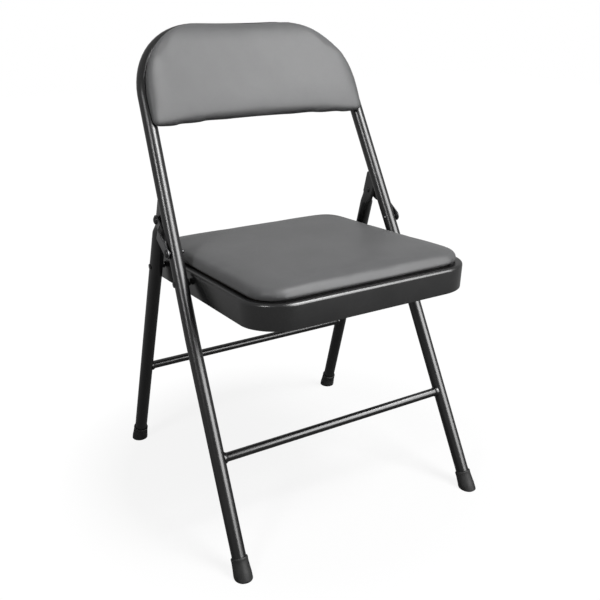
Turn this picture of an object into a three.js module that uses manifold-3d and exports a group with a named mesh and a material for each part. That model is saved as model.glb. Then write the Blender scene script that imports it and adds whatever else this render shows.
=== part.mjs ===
// Steel folding chair: an inverted U of bent tube carries the back, a pressed seat pan swings between
// its legs, and a second pair of legs folds behind it on two side links.
// Millimetres. -Y is the front and +Z is up; left and right are as seen from in front, so +X is the right.
// The origin is the middle of the floor print.
import * as THREE from 'three';
import Module from 'manifold-3d';
import { mergeVertices } from 'three/addons/utils/BufferGeometryUtils.js';

const wasm = await Module();
wasm.setup();

const RAD = Math.PI / 180;

// Clearances and facets
const FIT = 0.3; // gap left where two pieces touch
const TUBE_SIDES = 20;
const PIN_SIDES = 16;
const BEND_STEPS = 9; // chords in each bend of the back arch
const CORNER_STEPS = 7; // chords in each rounded corner of the seat and the back

// Front frame: one tube bent into an inverted U
const TUBE_DIAMETER = 22;
const TUBE_WALL = 1.2;
const FRAME_LEAN = 28.5; // degrees back from upright
const FRAME_LENGTH = 863; // floor to the middle of the top rail, along the lean
const FRONT_LEG_GAP = 4.28; // side of the pan to the front leg, at the seat pivot
const KNEE_DISTANCE = 360; // from the floor to the slight bend below the seat
const LOWER_TOE_IN = 1.57; // degrees each leg leans inward below that bend
const UPPER_TOE_IN = 2.67; // and above it
const ARCH_RADIUS = 123;
const ARCH_BOW = 18; // how far the top rail curves backward

// Rear legs and crossbars
const REAR_LEAN = 18.3;
const REAR_TOE_IN = 1.82;
const FOOT_SPREAD = 453.8; // front foot to rear foot, fore and aft
const REAR_LEG_GAP = 2.95; // side of the pan to the rear leg, at its lower pivot
const LEG_PAST_LINK = 52; // rear leg past its upper pivot, before its tip is trimmed
const TAB_LENGTH = 60;
const TAB_THICKNESS = 6;
const TAB_WIDTH = 29;
const TAB_BLEND = 17; // length over which the round tube is pressed flat
const TAB_TIP_ROUND = 9;
const TAB_GAP = 1.2; // least gap between the flattened end and the front leg
const CROSSBAR_DIAMETER = 14.3;
const CROSSBAR_WALL = 1.1;
const FRONT_CROSSBAR_HEIGHT = 154.6;
const REAR_CROSSBAR_HEIGHT = 177.1;

// Rubber tips
const TIP_LENGTH = 30;
const TIP_TOP_DIAMETER = 25.6;
const TIP_FOOT_DIAMETER = 28.4;
const TIP_FLOOR = 9; // rubber under the end of the tube
const TIP_EDGE = 2.5;

// Seat pan, pressed from sheet
const SEAT_WIDTH = 381.4;
const SEAT_DEPTH = 411.6;
const SEAT_SET_FORWARD = 11.6; // front of the pan ahead of the front feet
const SEAT_FRONT_HEIGHT = 425;
const SEAT_TILT = 3.96; // degrees, front edge up
const FRONT_CORNER_RADIUS = 62;
const REAR_CORNER_RADIUS = 50;
const PAN_HEIGHT = 39;
const SHEET = 1;
const APRON_TUCK = 2.5; // how far the skirt draws in at its lower edge
const SHOULDER = 5; // radius of the pan's upper edge
const RIM_WIDTH = 13; // from the outside of the pan to the pad recess
const RECESS_DEPTH = 4;
const HEM_WIDTH = 4; // lower edge turned inward

// Seat pad and its board
const BOARD_THICKNESS = 4;
const SEAT_PAD_EDGE = 13; // height of the pad at its border, over the rim
const SEAT_PAD_CROWN = 24;
const PAD_RIM_GAP = 3;
const BOARD_INSET = 16;
const BOARD_SCREW_INSET_X = 62;
const BOARD_SCREW_INSET_Y = 75;

// Back panel and pad
const BACK_BOTTOM = 694; // lower edge of the back, along the lean
const BACK_PAD_THICKNESS = 19;
const BACK_PAD_ROUND = 8;
const BACK_EDGE_OVER_TUBE = 1.5; // pad border past the centre line of the tube
const BACK_CORNER_RADIUS = 17;
const BACK_LOWER_RISE = 9; // how much the lower edge arches up at the middle
const BACK_SCREW_LOW = 716; // lower screws, along the lean
const BACK_SCREW_STATION = 2; // upper screws, at this chord of the bend

// Hinges
const SEAT_PIVOT = 449; // along the front leg from the floor
const SEAT_PIVOT_BEHIND = 3; // behind that leg's centre line
const LINK_PIVOT = 497;
const LINK_PIVOT_BEHIND = -2;
const LEG_PIVOT_BEHIND = 99.35; // the rear leg's lower pivot behind the front leg's centre line
const LINK_TOP_BEHIND = 34.5; // and its upper pivot
const RIVET_DIAMETER = 6.4;
const DOMED_HEAD = { diameter: 13, height: 2.8 }; // on the links
const LOW_HEAD = { diameter: 10, height: 1 }; // on the legs
const PIVOT_WASHER_DIAMETER = 11;
const LINK_WIDTH = 17;
const LINK_THICKNESS = 2.6;
const LINK_STANDOFF = 1.4; // least gap between the link and the tube beside it
const LINK_JOG_START = 42; // lower pivot to where the link bends inward, past the tube
const LINK_JOG_LENGTH = 13;
const LINK_SPACER_LENGTH = 2;
const LINK_SPACER_DIAMETER = 13;
const HINGE_PLATE_THICKNESS = 2.5;
const HINGE_PLATE_WIDTH = 24;
const HINGE_PLATE_DROP = 4; // top of the plate below the top of the pan

// Screws
const SCREW_DIAMETER = 4;
const SCREW_HEAD_DIAMETER = 9;
const SCREW_HEAD_HEIGHT = 2.4;

const steel = (name) => new THREE.MeshStandardMaterial({ name, color: 0x17181a, roughness: 0.28, metalness: 0.4 });
const vinyl = (name) => new THREE.MeshStandardMaterial({ name, color: 0x5b5d60, roughness: 0.55, metalness: 0 });
const rubber = (name) => new THREE.MeshStandardMaterial({ name, color: 0x141414, roughness: 0.8, metalness: 0 });
const board = (name) => new THREE.MeshStandardMaterial({ name, color: 0x6b4f34, roughness: 0.9, metalness: 0 });
const zinc = (name) => new THREE.MeshStandardMaterial({ name, color: 0x3a3b3d, roughness: 0.35, metalness: 0.8 });

// ---------------------------------------------------------------- solids

function toManifold(geometry) {
  const bare = geometry.clone();
  for (const name of Object.keys(bare.attributes)) {
    if (name !== 'position') bare.deleteAttribute(name);
  }
  const merged = mergeVertices(bare, 1e-4);
  const vertProperties = new Float32Array(merged.attributes.position.array);
  const triVerts = new Uint32Array(merged.index.array);
  return new wasm.Manifold(new wasm.Mesh({ numProp: 3, vertProperties, triVerts }));
}

function toGeometry(solid) {
  const mesh = solid.getMesh();
  const geometry = new THREE.BufferGeometry();
  geometry.setAttribute('position', new THREE.BufferAttribute(new Float32Array(mesh.vertProperties), 3));
  geometry.setIndex(new THREE.BufferAttribute(new Uint32Array(mesh.triVerts), 1));
  geometry.computeVertexNormals();
  return geometry;
}

// A skin through a row of rings with equal point counts, closed by a cap on the first and the last.
// With rungs, a ring is two rows and a cap joins each point to its opposite, so that it keeps their curve.
function loft(rings, rungs = false) {
  const count = rings[0].length;
  const positions = rings.flat().flatMap((point) => [point.x, point.y, point.z]);
  const index = [];
  for (let ring = 0; ring + 1 < rings.length; ring += 1) {
    for (let side = 0; side < count; side += 1) {
      const here = ring * count + side;
      const next = ring * count + ((side + 1) % count);
      index.push(here, next, next + count, here, next + count, here + count);
    }
  }
  for (const [ring, flip] of [[0, true], [rings.length - 1, false]]) {
    const faces = rungs ? rungFaces(count) : THREE.ShapeUtils.triangulateShape(flatten(rings[ring]), []);
    for (const [a, b, c] of faces) {
      const base = ring * count;
      index.push(base + a, ...(flip ? [base + c, base + b] : [base + b, base + c]));
    }
  }
  const geometry = new THREE.BufferGeometry();
  geometry.setAttribute('position', new THREE.Float32BufferAttribute(positions, 3));
  geometry.setIndex(index);
  return outward(geometry);
}

function rungFaces(count) {
  const faces = [];
  for (let low = 0; low + 1 < count / 2; low += 1) {
    const high = count - 1 - low;
    faces.push([low, low + 1, high], [low + 1, high - 1, high]);
  }
  return faces;
}

// A ring's points in its own plane, turning the way its own normal says.
function flatten(ring) {
  const centre = ring.reduce((sum, point) => sum.add(point), new THREE.Vector3()).divideScalar(ring.length);
  const normal = new THREE.Vector3();
  ring.forEach((point, i) => {
    const next = ring[(i + 1) % ring.length];
    normal.add(new THREE.Vector3().crossVectors(point.clone().sub(centre), next.clone().sub(centre)));
  });
  normal.normalize();
  const across = ring[0].clone().sub(centre).normalize();
  const along = new THREE.Vector3().crossVectors(normal, across);
  return ring.map((point) => {
    const arm = point.clone().sub(centre);
    return new THREE.Vector2(arm.dot(across), arm.dot(along));
  });
}

// Turns every face round when the skin encloses a negative volume.
function outward(geometry) {
  const at = (i) => new THREE.Vector3().fromBufferAttribute(geometry.attributes.position, i);
  const index = geometry.index.array;
  let volume = 0;
  for (let i = 0; i < index.length; i += 3) {
    volume += at(index[i]).dot(new THREE.Vector3().crossVectors(at(index[i + 1]), at(index[i + 2])));
  }
  if (volume < 0) {
    for (let i = 0; i < index.length; i += 3) {
      [index[i + 1], index[i + 2]] = [index[i + 2], index[i + 1]];
    }
  }
  return geometry;
}

// A straight solid rod from one point to another.
function rod(from, to, diameter, sides = PIN_SIDES) {
  const axis = to.clone().sub(from);
  const geometry = new THREE.CylinderGeometry(diameter / 2, diameter / 2, axis.length(), sides);
  const turn = new THREE.Quaternion().setFromUnitVectors(new THREE.Vector3(0, 1, 0), axis.clone().normalize());
  geometry.applyQuaternion(turn);
  geometry.translate(...from.clone().add(to).multiplyScalar(0.5));
  return toManifold(geometry);
}

// A turned piece: profile points are [radius, height] and the axis points from one point to another.
function turned(profile, from, direction, sides = PIN_SIDES) {
  const points = profile.map(([radius, height]) => new THREE.Vector2(radius, height));
  const geometry = new THREE.LatheGeometry(points, sides);
  const turn = new THREE.Quaternion().setFromUnitVectors(new THREE.Vector3(0, 1, 0), direction.clone().normalize());
  geometry.applyQuaternion(turn);
  geometry.translate(...from);
  return toManifold(geometry);
}

const circle = (radius, sides) => {
  const points = [];
  for (let i = 0; i < sides; i += 1) {
    const angle = (i / sides) * 2 * Math.PI;
    points.push(new THREE.Vector2(radius * Math.cos(angle), radius * Math.sin(angle)));
  }
  return points;
};

function ringShape(outer, wall, sides) {
  const shape = new THREE.Shape(circle(outer, sides));
  shape.holes.push(new THREE.Path(circle(outer - wall, sides).reverse()));
  return shape;
}

// A route for a tube, with a station only where the tube bends.
class StationPath extends THREE.Curve {
  constructor(stations) {
    super();
    this.stations = stations;
  }

  getPoint(t) {
    const place = t * (this.stations.length - 1);
    const i = Math.min(Math.floor(place), this.stations.length - 2);
    return this.stations[i].clone().lerp(this.stations[i + 1], place - i);
  }

  getPointAt(u) {
    return this.getPoint(u);
  }

  getSpacedPoints() {
    return this.stations.map((station) => station.clone());
  }

  getTangentAt(u) {
    const i = Math.round(u * (this.stations.length - 1));
    const before = this.stations[Math.max(i - 1, 0)];
    const after = this.stations[Math.min(i + 1, this.stations.length - 1)];
    const here = this.stations[i];
    const tangent = new THREE.Vector3();
    if (i > 0) tangent.add(here.clone().sub(before).normalize());
    if (i < this.stations.length - 1) tangent.add(after.clone().sub(here).normalize());
    return tangent.normalize();
  }
}

function tubeAlong(stations, diameter, wall, sides) {
  const path = new StationPath(stations);
  const shape = ringShape(diameter / 2, wall, sides);
  const settings = { steps: stations.length - 1, extrudePath: path, curveSegments: sides };
  return toManifold(new THREE.ExtrudeGeometry(shape, settings));
}

// ---------------------------------------------------------------- places

const frontFootY = -FOOT_SPREAD / 2;
const rearFootY = FOOT_SPREAD / 2;
const lean = FRAME_LEAN * RAD;
const tubeRadius = TUBE_DIAMETER / 2;

// A point on the leaning frame: across, along the lean from the floor, and behind its plane.
const onFrame = (across, along, behind = 0) => new THREE.Vector3(
  across,
  frontFootY + along * Math.sin(lean) + behind * Math.cos(lean),
  along * Math.cos(lean) - behind * Math.sin(lean),
);

const frontFootHalfWidth = SEAT_WIDTH / 2 + FRONT_LEG_GAP + tubeRadius
  + Math.tan(LOWER_TOE_IN * RAD) * KNEE_DISTANCE + Math.tan(UPPER_TOE_IN * RAD) * (SEAT_PIVOT - KNEE_DISTANCE);
const frameHalfWidth = (along) => frontFootHalfWidth
  - Math.tan(LOWER_TOE_IN * RAD) * Math.min(along, KNEE_DISTANCE)
  - Math.tan(UPPER_TOE_IN * RAD) * Math.max(along - KNEE_DISTANCE, 0);

const archStart = FRAME_LENGTH - ARCH_RADIUS;
const archHalfWidth = frameHalfWidth(archStart);
const bowAt = (across) => ARCH_BOW * (1 - Math.min((across / archHalfWidth) ** 2, 1));

const rearAxis = new THREE.Vector3(-Math.tan(REAR_TOE_IN * RAD), -Math.sin(REAR_LEAN * RAD), Math.cos(REAR_LEAN * RAD))
  .normalize();
const leanBehind = new THREE.Vector3(0, Math.cos(lean), -Math.sin(lean));
// Where along the rear leg its centre line lies a distance behind the front leg's.
const alongRearLeg = (behind) => (behind - FOOT_SPREAD * leanBehind.y) / rearAxis.dot(leanBehind);
const legPivotAlong = alongRearLeg(LEG_PIVOT_BEHIND);
const linkTopAlong = alongRearLeg(LINK_TOP_BEHIND);
const rearLegLength = linkTopAlong + LEG_PAST_LINK;
const rearFootHalfWidth = SEAT_WIDTH / 2 + REAR_LEG_GAP + tubeRadius - legPivotAlong * rearAxis.x;
const onRearLeg = (along) => new THREE.Vector3(rearFootHalfWidth, rearFootY, 0)
  .add(rearAxis.clone().multiplyScalar(along));

const seatFront = new THREE.Vector3(0, frontFootY - SEAT_SET_FORWARD, SEAT_FRONT_HEIGHT);
const seatTurn = new THREE.Quaternion().setFromAxisAngle(new THREE.Vector3(1, 0, 0), -SEAT_TILT * RAD);
const onSeat = (across, back, up = 0) => new THREE.Vector3(across, back, up)
  .applyQuaternion(seatTurn).add(seatFront);
const underSeat = (point) => point.clone().sub(seatFront)
  .applyQuaternion(seatTurn.clone().invert());

const seatPivot = onFrame(frameHalfWidth(SEAT_PIVOT), SEAT_PIVOT, SEAT_PIVOT_BEHIND);
const linkPivot = onFrame(frameHalfWidth(LINK_PIVOT), LINK_PIVOT, LINK_PIVOT_BEHIND);
const legPivot = onRearLeg(legPivotAlong);
const linkTop = onRearLeg(linkTopAlong);
const linkInnerX = frameHalfWidth(LINK_PIVOT - LINK_WIDTH / 2) + tubeRadius + LINK_STANDOFF;
const linkOuterX = linkInnerX + LINK_THICKNESS;

const across = new THREE.Vector3(1, 0, 0);
const at = (x, point) => new THREE.Vector3(x, point.y, point.z);

// ---------------------------------------------------------------- assembly helpers

const chair = new THREE.Group();

function place(name, solid, material) {
  const geometry = solid.isBufferGeometry ? solid : toGeometry(solid);
  const mesh = new THREE.Mesh(geometry, material(name));
  mesh.name = name;
  chair.add(mesh);
  return mesh;
}

// The right-hand solid as given, and the left-hand one as its mirror image.
function placePair(name, solid, material) {
  place(`${name}_right`, solid, material);
  place(`${name}_left`, solid.mirror([1, 0, 0]), material);
}

// ---------------------------------------------------------------- front frame

function bendStation(i) {
  const angle = (i / BEND_STEPS) * Math.PI / 2;
  const x = archHalfWidth - ARCH_RADIUS + ARCH_RADIUS * Math.cos(angle);
  return { x, along: archStart + ARCH_RADIUS * Math.sin(angle) };
}

function frameStations() {
  const stations = [onFrame(frameHalfWidth(TIP_FLOOR + FIT), TIP_FLOOR + FIT)];
  stations.push(onFrame(frameHalfWidth(KNEE_DISTANCE), KNEE_DISTANCE));
  for (let i = 0; i <= BEND_STEPS; i += 1) {
    const { x, along } = bendStation(i);
    stations.push(onFrame(x, along, bowAt(x)));
  }
  const flat = (archHalfWidth - ARCH_RADIUS) / 2;
  stations.push(onFrame(flat, FRAME_LENGTH, bowAt(flat)));
  const mirrored = stations.map((point) => new THREE.Vector3(-point.x, point.y, point.z)).reverse();
  return [...stations, onFrame(0, FRAME_LENGTH, bowAt(0)), ...mirrored];
}

const pinHole = (point, reach) => rod(at(point.x - reach, point), at(point.x + reach, point), RIVET_DIAMETER + 2 * FIT);

const backScrewSpots = [{ along: BACK_SCREW_LOW, x: frameHalfWidth(BACK_SCREW_LOW) }, bendStation(BACK_SCREW_STATION)];

// Centre line of the tube beside the back, at a height along the lean.
function archEdge(along, inset) {
  const rise = Math.max(along - archStart, 0);
  const radius = ARCH_RADIUS - inset;
  if (rise === 0) return frameHalfWidth(along) - inset;
  return archHalfWidth - ARCH_RADIUS + Math.sqrt(Math.max(radius ** 2 - rise ** 2, 0));
}

function screwAxis(spot, side) {
  const behind = bowAt(spot.x);
  return {
    back: onFrame(side * spot.x, spot.along, behind + tubeRadius),
    front: onFrame(side * spot.x, spot.along, behind - tubeRadius),
    direction: onFrame(0, 0, -1).sub(onFrame(0, 0, 0)),
  };
}

function frontFrame() {
  let frame = tubeAlong(frameStations(), TUBE_DIAMETER, TUBE_WALL, TUBE_SIDES);
  for (const side of [1, -1]) {
    for (const pivot of [seatPivot, linkPivot]) {
      frame = frame.subtract(pinHole(at(side * pivot.x, pivot), TUBE_DIAMETER));
    }
    for (const spot of backScrewSpots) {
      const { back, front, direction } = screwAxis(spot, side);
      const start = back.clone().addScaledVector(direction, -FIT * 10);
      const end = front.clone().addScaledVector(direction, FIT * 10);
      frame = frame.subtract(rod(start, end, SCREW_DIAMETER + 2 * FIT));
    }
  }
  return frame;
}

place('front_frame_tube', frontFrame(), steel);

// A tube across the legs, its ends cut to saddle them.
function crossbar(pointAt, halfWidthOf, axisOf) {
  const right = pointAt(1);
  const left = pointAt(-1);
  let bar = tubeAlong([left, right], CROSSBAR_DIAMETER, CROSSBAR_WALL, PIN_SIDES);
  for (const side of [1, -1]) {
    const [low, high] = axisOf(side);
    bar = bar.subtract(rod(low, high, TUBE_DIAMETER + 2 * FIT, TUBE_SIDES));
  }
  const pieces = bar.decompose();
  return pieces.sort((a, b) => b.volume() - a.volume())[0];
}

const frontBarAlong = FRONT_CROSSBAR_HEIGHT / Math.cos(lean);
const frontBarSpan = frameHalfWidth(frontBarAlong);
place('front_crossbar', crossbar(
  (side) => onFrame(side * frontBarSpan, frontBarAlong),
  frontBarSpan,
  (side) => [-60, 60].map((step) => onFrame(side * frameHalfWidth(frontBarAlong + step), frontBarAlong + step)),
), steel);

// ---------------------------------------------------------------- rear legs

// Points round a tube that is pressed flat: flatness 0 is round, 1 is the flat tab.
function pressedRing(centre, flatness, shrink) {
  const halfWidth = THREE.MathUtils.lerp(tubeRadius, TAB_WIDTH / 2, flatness) - shrink;
  const halfThickness = THREE.MathUtils.lerp(tubeRadius, TAB_THICKNESS / 2, flatness) - shrink;
  const forward = new THREE.Vector3().crossVectors(across, rearAxis).normalize();
  const sideways = new THREE.Vector3().crossVectors(rearAxis, forward);
  const points = [];
  for (let i = 0; i < TUBE_SIDES; i += 1) {
    const angle = ((i + 0.5) / TUBE_SIDES) * 2 * Math.PI;
    const squareness = THREE.MathUtils.lerp(1, 0.35, flatness);
    const x = Math.sign(Math.cos(angle)) * Math.abs(Math.cos(angle)) ** squareness * halfThickness;
    const y = Math.sin(angle) * halfWidth;
    points.push(centre.clone().addScaledVector(sideways, x).addScaledVector(forward, y));
  }
  return points;
}

function rearLeg() {
  const flatFrom = rearLegLength - TAB_LENGTH;
  const roundTo = flatFrom - TAB_BLEND;
  const start = TIP_FLOOR + FIT;
  const outer = [[start, 0], [roundTo, 0], [roundTo + TAB_BLEND * 0.35, 0.2], [roundTo + TAB_BLEND * 0.7, 0.75]];
  outer.push([flatFrom, 1], [rearLegLength, 1]);
  const inner = [[roundTo + TAB_BLEND * 0.35, 0.2], [roundTo, 0], [start, 0]];
  const rings = inner.map(([along, flatness]) => pressedRing(onRearLeg(along), flatness, TUBE_WALL));
  rings.push(...outer.map(([along, flatness]) => pressedRing(onRearLeg(along), flatness, 0)));
  let leg = toManifold(loft(rings));
  leg = leg.intersect(tabOutline());
  leg = leg.subtract(pinHole(legPivot, TUBE_DIAMETER));
  return leg.subtract(pinHole(linkTop, TUBE_DIAMETER));
}

// Side view of the leg: straight behind, and in front trimmed to stay clear of the front leg.
function tabOutline() {
  const forward = new THREE.Vector2(-Math.cos(REAR_LEAN * RAD), -Math.sin(REAR_LEAN * RAD));
  const upward = new THREE.Vector2(-Math.sin(REAR_LEAN * RAD), Math.cos(REAR_LEAN * RAD));
  const spot = (along, ahead) => new THREE.Vector2(rearFootY, 0)
    .addScaledVector(upward, along).addScaledVector(forward, ahead);
  const half = TAB_WIDTH / 2 + 0.1;
  const trim = new THREE.Vector2(Math.sin(lean), Math.cos(lean));
  const behind = new THREE.Vector2(trim.y, -trim.x);
  const gapAt = (point) => point.clone().sub(new THREE.Vector2(frontFootY, 0)).dot(behind) - tubeRadius - TAB_GAP;
  const meetTrim = (ahead) => {
    const [low, high] = [gapAt(spot(0, ahead)), gapAt(spot(rearLegLength, ahead))];
    return (rearLegLength * low) / (low - high);
  };
  const corner = spot(meetTrim(-half), -half);
  const roundStart = spot(meetTrim(-half) - TAB_TIP_ROUND, -half);
  const roundEnd = corner.clone().addScaledVector(trim, -TAB_TIP_ROUND);
  const shape = new THREE.Shape([spot(-TUBE_DIAMETER, half), spot(-TUBE_DIAMETER, -half), roundStart]);
  shape.quadraticCurveTo(corner.x, corner.y, roundEnd.x, roundEnd.y);
  const low = spot(meetTrim(half), half);
  shape.lineTo(low.x, low.y);
  return toManifold(alongX(shape, rearFootHalfWidth + TUBE_DIAMETER, 3 * TUBE_DIAMETER, 5));
}

// A flat shape drawn in Y and Z, given a thickness inward from its outer face.
function alongX(shape, outerX, thickness, steps) {
  const geometry = new THREE.ExtrudeGeometry(shape, { depth: thickness, bevelEnabled: false, curveSegments: steps });
  geometry.applyMatrix4(new THREE.Matrix4().makeBasis(
    new THREE.Vector3(0, 1, 0),
    new THREE.Vector3(0, 0, 1),
    new THREE.Vector3(1, 0, 0),
  ));
  geometry.translate(outerX - thickness, 0, 0);
  return geometry;
}

placePair('rear_leg', rearLeg(), steel);

const rearBarAlong = REAR_CROSSBAR_HEIGHT / rearAxis.z;
const rearBarEnd = onRearLeg(rearBarAlong);
const mirrorX = (point, side) => new THREE.Vector3(side * point.x, point.y, point.z);
place('rear_crossbar', crossbar(
  (side) => mirrorX(rearBarEnd, side),
  rearBarEnd.x,
  (side) => [-60, 60].map((step) => mirrorX(onRearLeg(rearBarAlong + step), side)),
), steel);

// ---------------------------------------------------------------- rubber tips

// A cup that closes the end of a leg and is cut flat where it stands.
function rubberTip(foot, axis) {
  const top = TIP_TOP_DIAMETER / 2;
  const wide = TIP_FOOT_DIAMETER / 2;
  const bore = tubeRadius + FIT;
  const floor = TIP_FLOOR;
  const reach = wide * 0.62;
  const profile = [
    [0, -reach], [wide - TIP_EDGE, -reach], [wide, -reach + TIP_EDGE], [wide, TIP_LENGTH * 0.2],
    [top + 0.6, TIP_LENGTH * 0.55], [top, TIP_LENGTH - 1.5], [top - 1, TIP_LENGTH], [bore, TIP_LENGTH],
    [bore, floor], [0, floor],
  ];
  const cup = turned(profile, foot, axis, TUBE_SIDES);
  const ground = new THREE.BoxGeometry(4 * wide, 4 * wide, 4 * wide);
  ground.translate(foot.x, foot.y, -2 * wide);
  return cup.subtract(toManifold(ground));
}

const frontLegAxis = onFrame(frameHalfWidth(TIP_LENGTH), TIP_LENGTH).sub(onFrame(frameHalfWidth(0), 0)).normalize();
placePair('front_tip', rubberTip(onFrame(frontFootHalfWidth, 0), frontLegAxis), rubber);
placePair('rear_tip', rubberTip(onRearLeg(0), rearAxis), rubber);

// ---------------------------------------------------------------- seat

// A rounded rectangle at an inset from the pan's outside, at a height over its shoulder.
function seatRing(inset, up) {
  const halfWidth = SEAT_WIDTH / 2 - inset;
  const corners = [
    [halfWidth, SEAT_DEPTH - inset, REAR_CORNER_RADIUS], [-halfWidth, SEAT_DEPTH - inset, REAR_CORNER_RADIUS],
    [-halfWidth, inset, FRONT_CORNER_RADIUS], [halfWidth, inset, FRONT_CORNER_RADIUS],
  ];
  const points = [];
  for (const [quarterTurns, [x, y, fullRadius]] of corners.entries()) {
    const radius = fullRadius - inset;
    const centreX = x - Math.sign(x) * radius;
    const centreY = y + (y > SEAT_DEPTH / 2 ? -radius : radius);
    for (let i = 0; i <= CORNER_STEPS; i += 1) {
      const angle = (quarterTurns + i / CORNER_STEPS) * Math.PI / 2;
      points.push(onSeat(centreX + radius * Math.cos(angle), centreY + radius * Math.sin(angle), up));
    }
  }
  return points;
}

function seatPan() {
  const recessInset = RIM_WIDTH;
  const lower = -PAN_HEIGHT;
  const quarter = SHOULDER * (1 - Math.SQRT1_2);
  const outside = [
    [recessInset + 1, -RECESS_DEPTH], [recessInset, -RECESS_DEPTH], [recessInset - 2, 0], [SHOULDER, 0],
    [quarter, -quarter], [0, -SHOULDER], [APRON_TUCK, lower], [APRON_TUCK + HEM_WIDTH, lower],
  ];
  const inside = [
    [APRON_TUCK + HEM_WIDTH, lower + SHEET], [APRON_TUCK + SHEET, lower + SHEET], [SHEET, -SHOULDER],
    [quarter + SHEET, -quarter - SHEET], [SHOULDER, -SHEET], [recessInset - 2, -SHEET],
    [recessInset + SHEET, -RECESS_DEPTH - SHEET], [recessInset + 3, -RECESS_DEPTH - SHEET],
  ];
  const rings = [...outside, ...inside].map(([inset, up]) => seatRing(inset, up));
  let pan = toManifold(loft(rings));
  for (const side of [1, -1]) {
    for (const pivot of [seatPivot, legPivot]) {
      pan = pan.subtract(pinHole(at(side * (SEAT_WIDTH / 2), pivot), 4 * APRON_TUCK));
    }
  }
  for (const spot of boardScrewSpots()) {
    pan = pan.subtract(rod(onSeat(...spot, -RECESS_DEPTH * 4), onSeat(...spot, RECESS_DEPTH), SCREW_DIAMETER + 2 * FIT));
  }
  return pan;
}

function boardScrewSpots() {
  const x = SEAT_WIDTH / 2 - BOARD_SCREW_INSET_X;
  const rows = [BOARD_SCREW_INSET_Y, SEAT_DEPTH - BOARD_SCREW_INSET_Y];
  return rows.flatMap((y) => [[-x, y], [x, y]]);
}

place('seat_pan', seatPan(), steel);

const boardBottom = -RECESS_DEPTH + FIT;
const boardTop = boardBottom + BOARD_THICKNESS;
const padInset = RIM_WIDTH + PAD_RIM_GAP;

function seatBoard() {
  let plate = toManifold(loft([seatRing(padInset + 4, boardBottom), seatRing(padInset + 4, boardTop)]));
  for (const spot of boardScrewSpots()) {
    plate = plate.subtract(rod(onSeat(...spot, boardBottom - 1), onSeat(...spot, boardTop + 1), SCREW_DIAMETER + 2 * FIT));
  }
  return plate;
}

place('seat_board', seatBoard(), board);

// Foam and cover in one soft body: a flat underside, round sides and a low crown.
function seatPad() {
  const bottom = boardTop + FIT;
  const rings = [
    [padInset + 6, bottom], [padInset + 1, bottom + 1], [padInset, bottom + SEAT_PAD_EDGE * 0.35],
    [padInset + 2.5, bottom + SEAT_PAD_EDGE * 0.75], [padInset + 9, bottom + SEAT_PAD_EDGE],
    [padInset + 30, bottom + SEAT_PAD_EDGE + (SEAT_PAD_CROWN - SEAT_PAD_EDGE) * 0.6],
    [FRONT_CORNER_RADIUS - 8, bottom + SEAT_PAD_CROWN - 2],
  ].map(([inset, up]) => seatRing(Math.min(inset, REAR_CORNER_RADIUS - 2), up));
  return toManifold(loft(rings));
}

place('seat_pad', seatPad(), vinyl);

const panFloor = -RECESS_DEPTH - SHEET;
const seatUp = new THREE.Vector3(0, 0, 1).applyQuaternion(seatTurn);

function screw(seat, direction, length) {
  const head = SCREW_HEAD_DIAMETER / 2;
  const profile = [
    [0, -SCREW_HEAD_HEIGHT], [head * 0.6, -SCREW_HEAD_HEIGHT], [head, -SCREW_HEAD_HEIGHT * 0.35], [head, 0],
    [SCREW_DIAMETER / 2, 0], [SCREW_DIAMETER / 2, length], [0, length],
  ];
  return turned(profile, seat, direction);
}

boardScrewSpots().forEach(([x, y], i) => {
  const length = SHEET + FIT + BOARD_THICKNESS - 0.5;
  place(`seat_screw_${i + 1}`, screw(onSeat(x, y, panFloor - FIT), seatUp, length), zinc);
});

// ---------------------------------------------------------------- back

// Outline of the back at an inset from its border, and behind the frame's plane by some distance. Each point
// of the lower edge stands under one of the upper edge.
function backRing(inset, behind) {
  const edge = inset - BACK_EDGE_OVER_TUBE;
  const low = BACK_BOTTOM + inset;
  const corner = Math.max(BACK_CORNER_RADIUS - inset, 2);
  const radius = ARCH_RADIUS - edge;
  const lowerHalf = archEdge(low + corner, edge);
  const upperHalf = archHalfWidth - edge;
  const high = [];
  for (let i = 0; i <= BEND_STEPS; i += 1) {
    const angle = (i / BEND_STEPS) * Math.PI / 2;
    high.push([upperHalf - radius + radius * Math.cos(angle), archStart + radius * Math.sin(angle)]);
  }
  const flat = upperHalf - radius;
  high.push([flat * 0.67, archStart + radius], [flat * 0.33, archStart + radius], [0, archStart + radius]);
  const lowEdge = (x) => {
    const past = x - (lowerHalf - corner);
    if (past > 0) return low + corner - Math.sqrt(Math.max(corner ** 2 - past ** 2, 0));
    return low + BACK_LOWER_RISE * (1 - (x / (lowerHalf - corner)) ** 2);
  };
  const below = high.map(([x]) => (x * lowerHalf) / upperHalf).map((x) => [x, lowEdge(x)]);
  const mirror = (points) => points.slice(0, -1).map(([x, along]) => [-x, along]).reverse();
  const rows = [[...below, ...mirror(below)], [...high, ...mirror(high)].reverse()];
  return rows.flat().map(([x, along]) => onFrame(x, along, bowAt(x) + behind));
}

const bowed = (steps) => toManifold(loft(steps.map(([inset, behind]) => backRing(inset, behind)), true));

const panelFront = -tubeRadius - FIT - SHEET;
const panelInset = 5;

function backPanel() {
  let panel = bowed([[panelInset, panelFront], [panelInset, panelFront + SHEET]]);
  for (const spot of backScrewSpots) {
    for (const side of [1, -1]) {
      const { front, direction } = screwAxis(spot, side);
      const start = front.clone().addScaledVector(direction, -TUBE_WALL);
      const end = front.clone().addScaledVector(direction, 3 * SHEET);
      panel = panel.subtract(rod(start, end, SCREW_DIAMETER + 2 * FIT));
    }
  }
  return panel;
}

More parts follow.
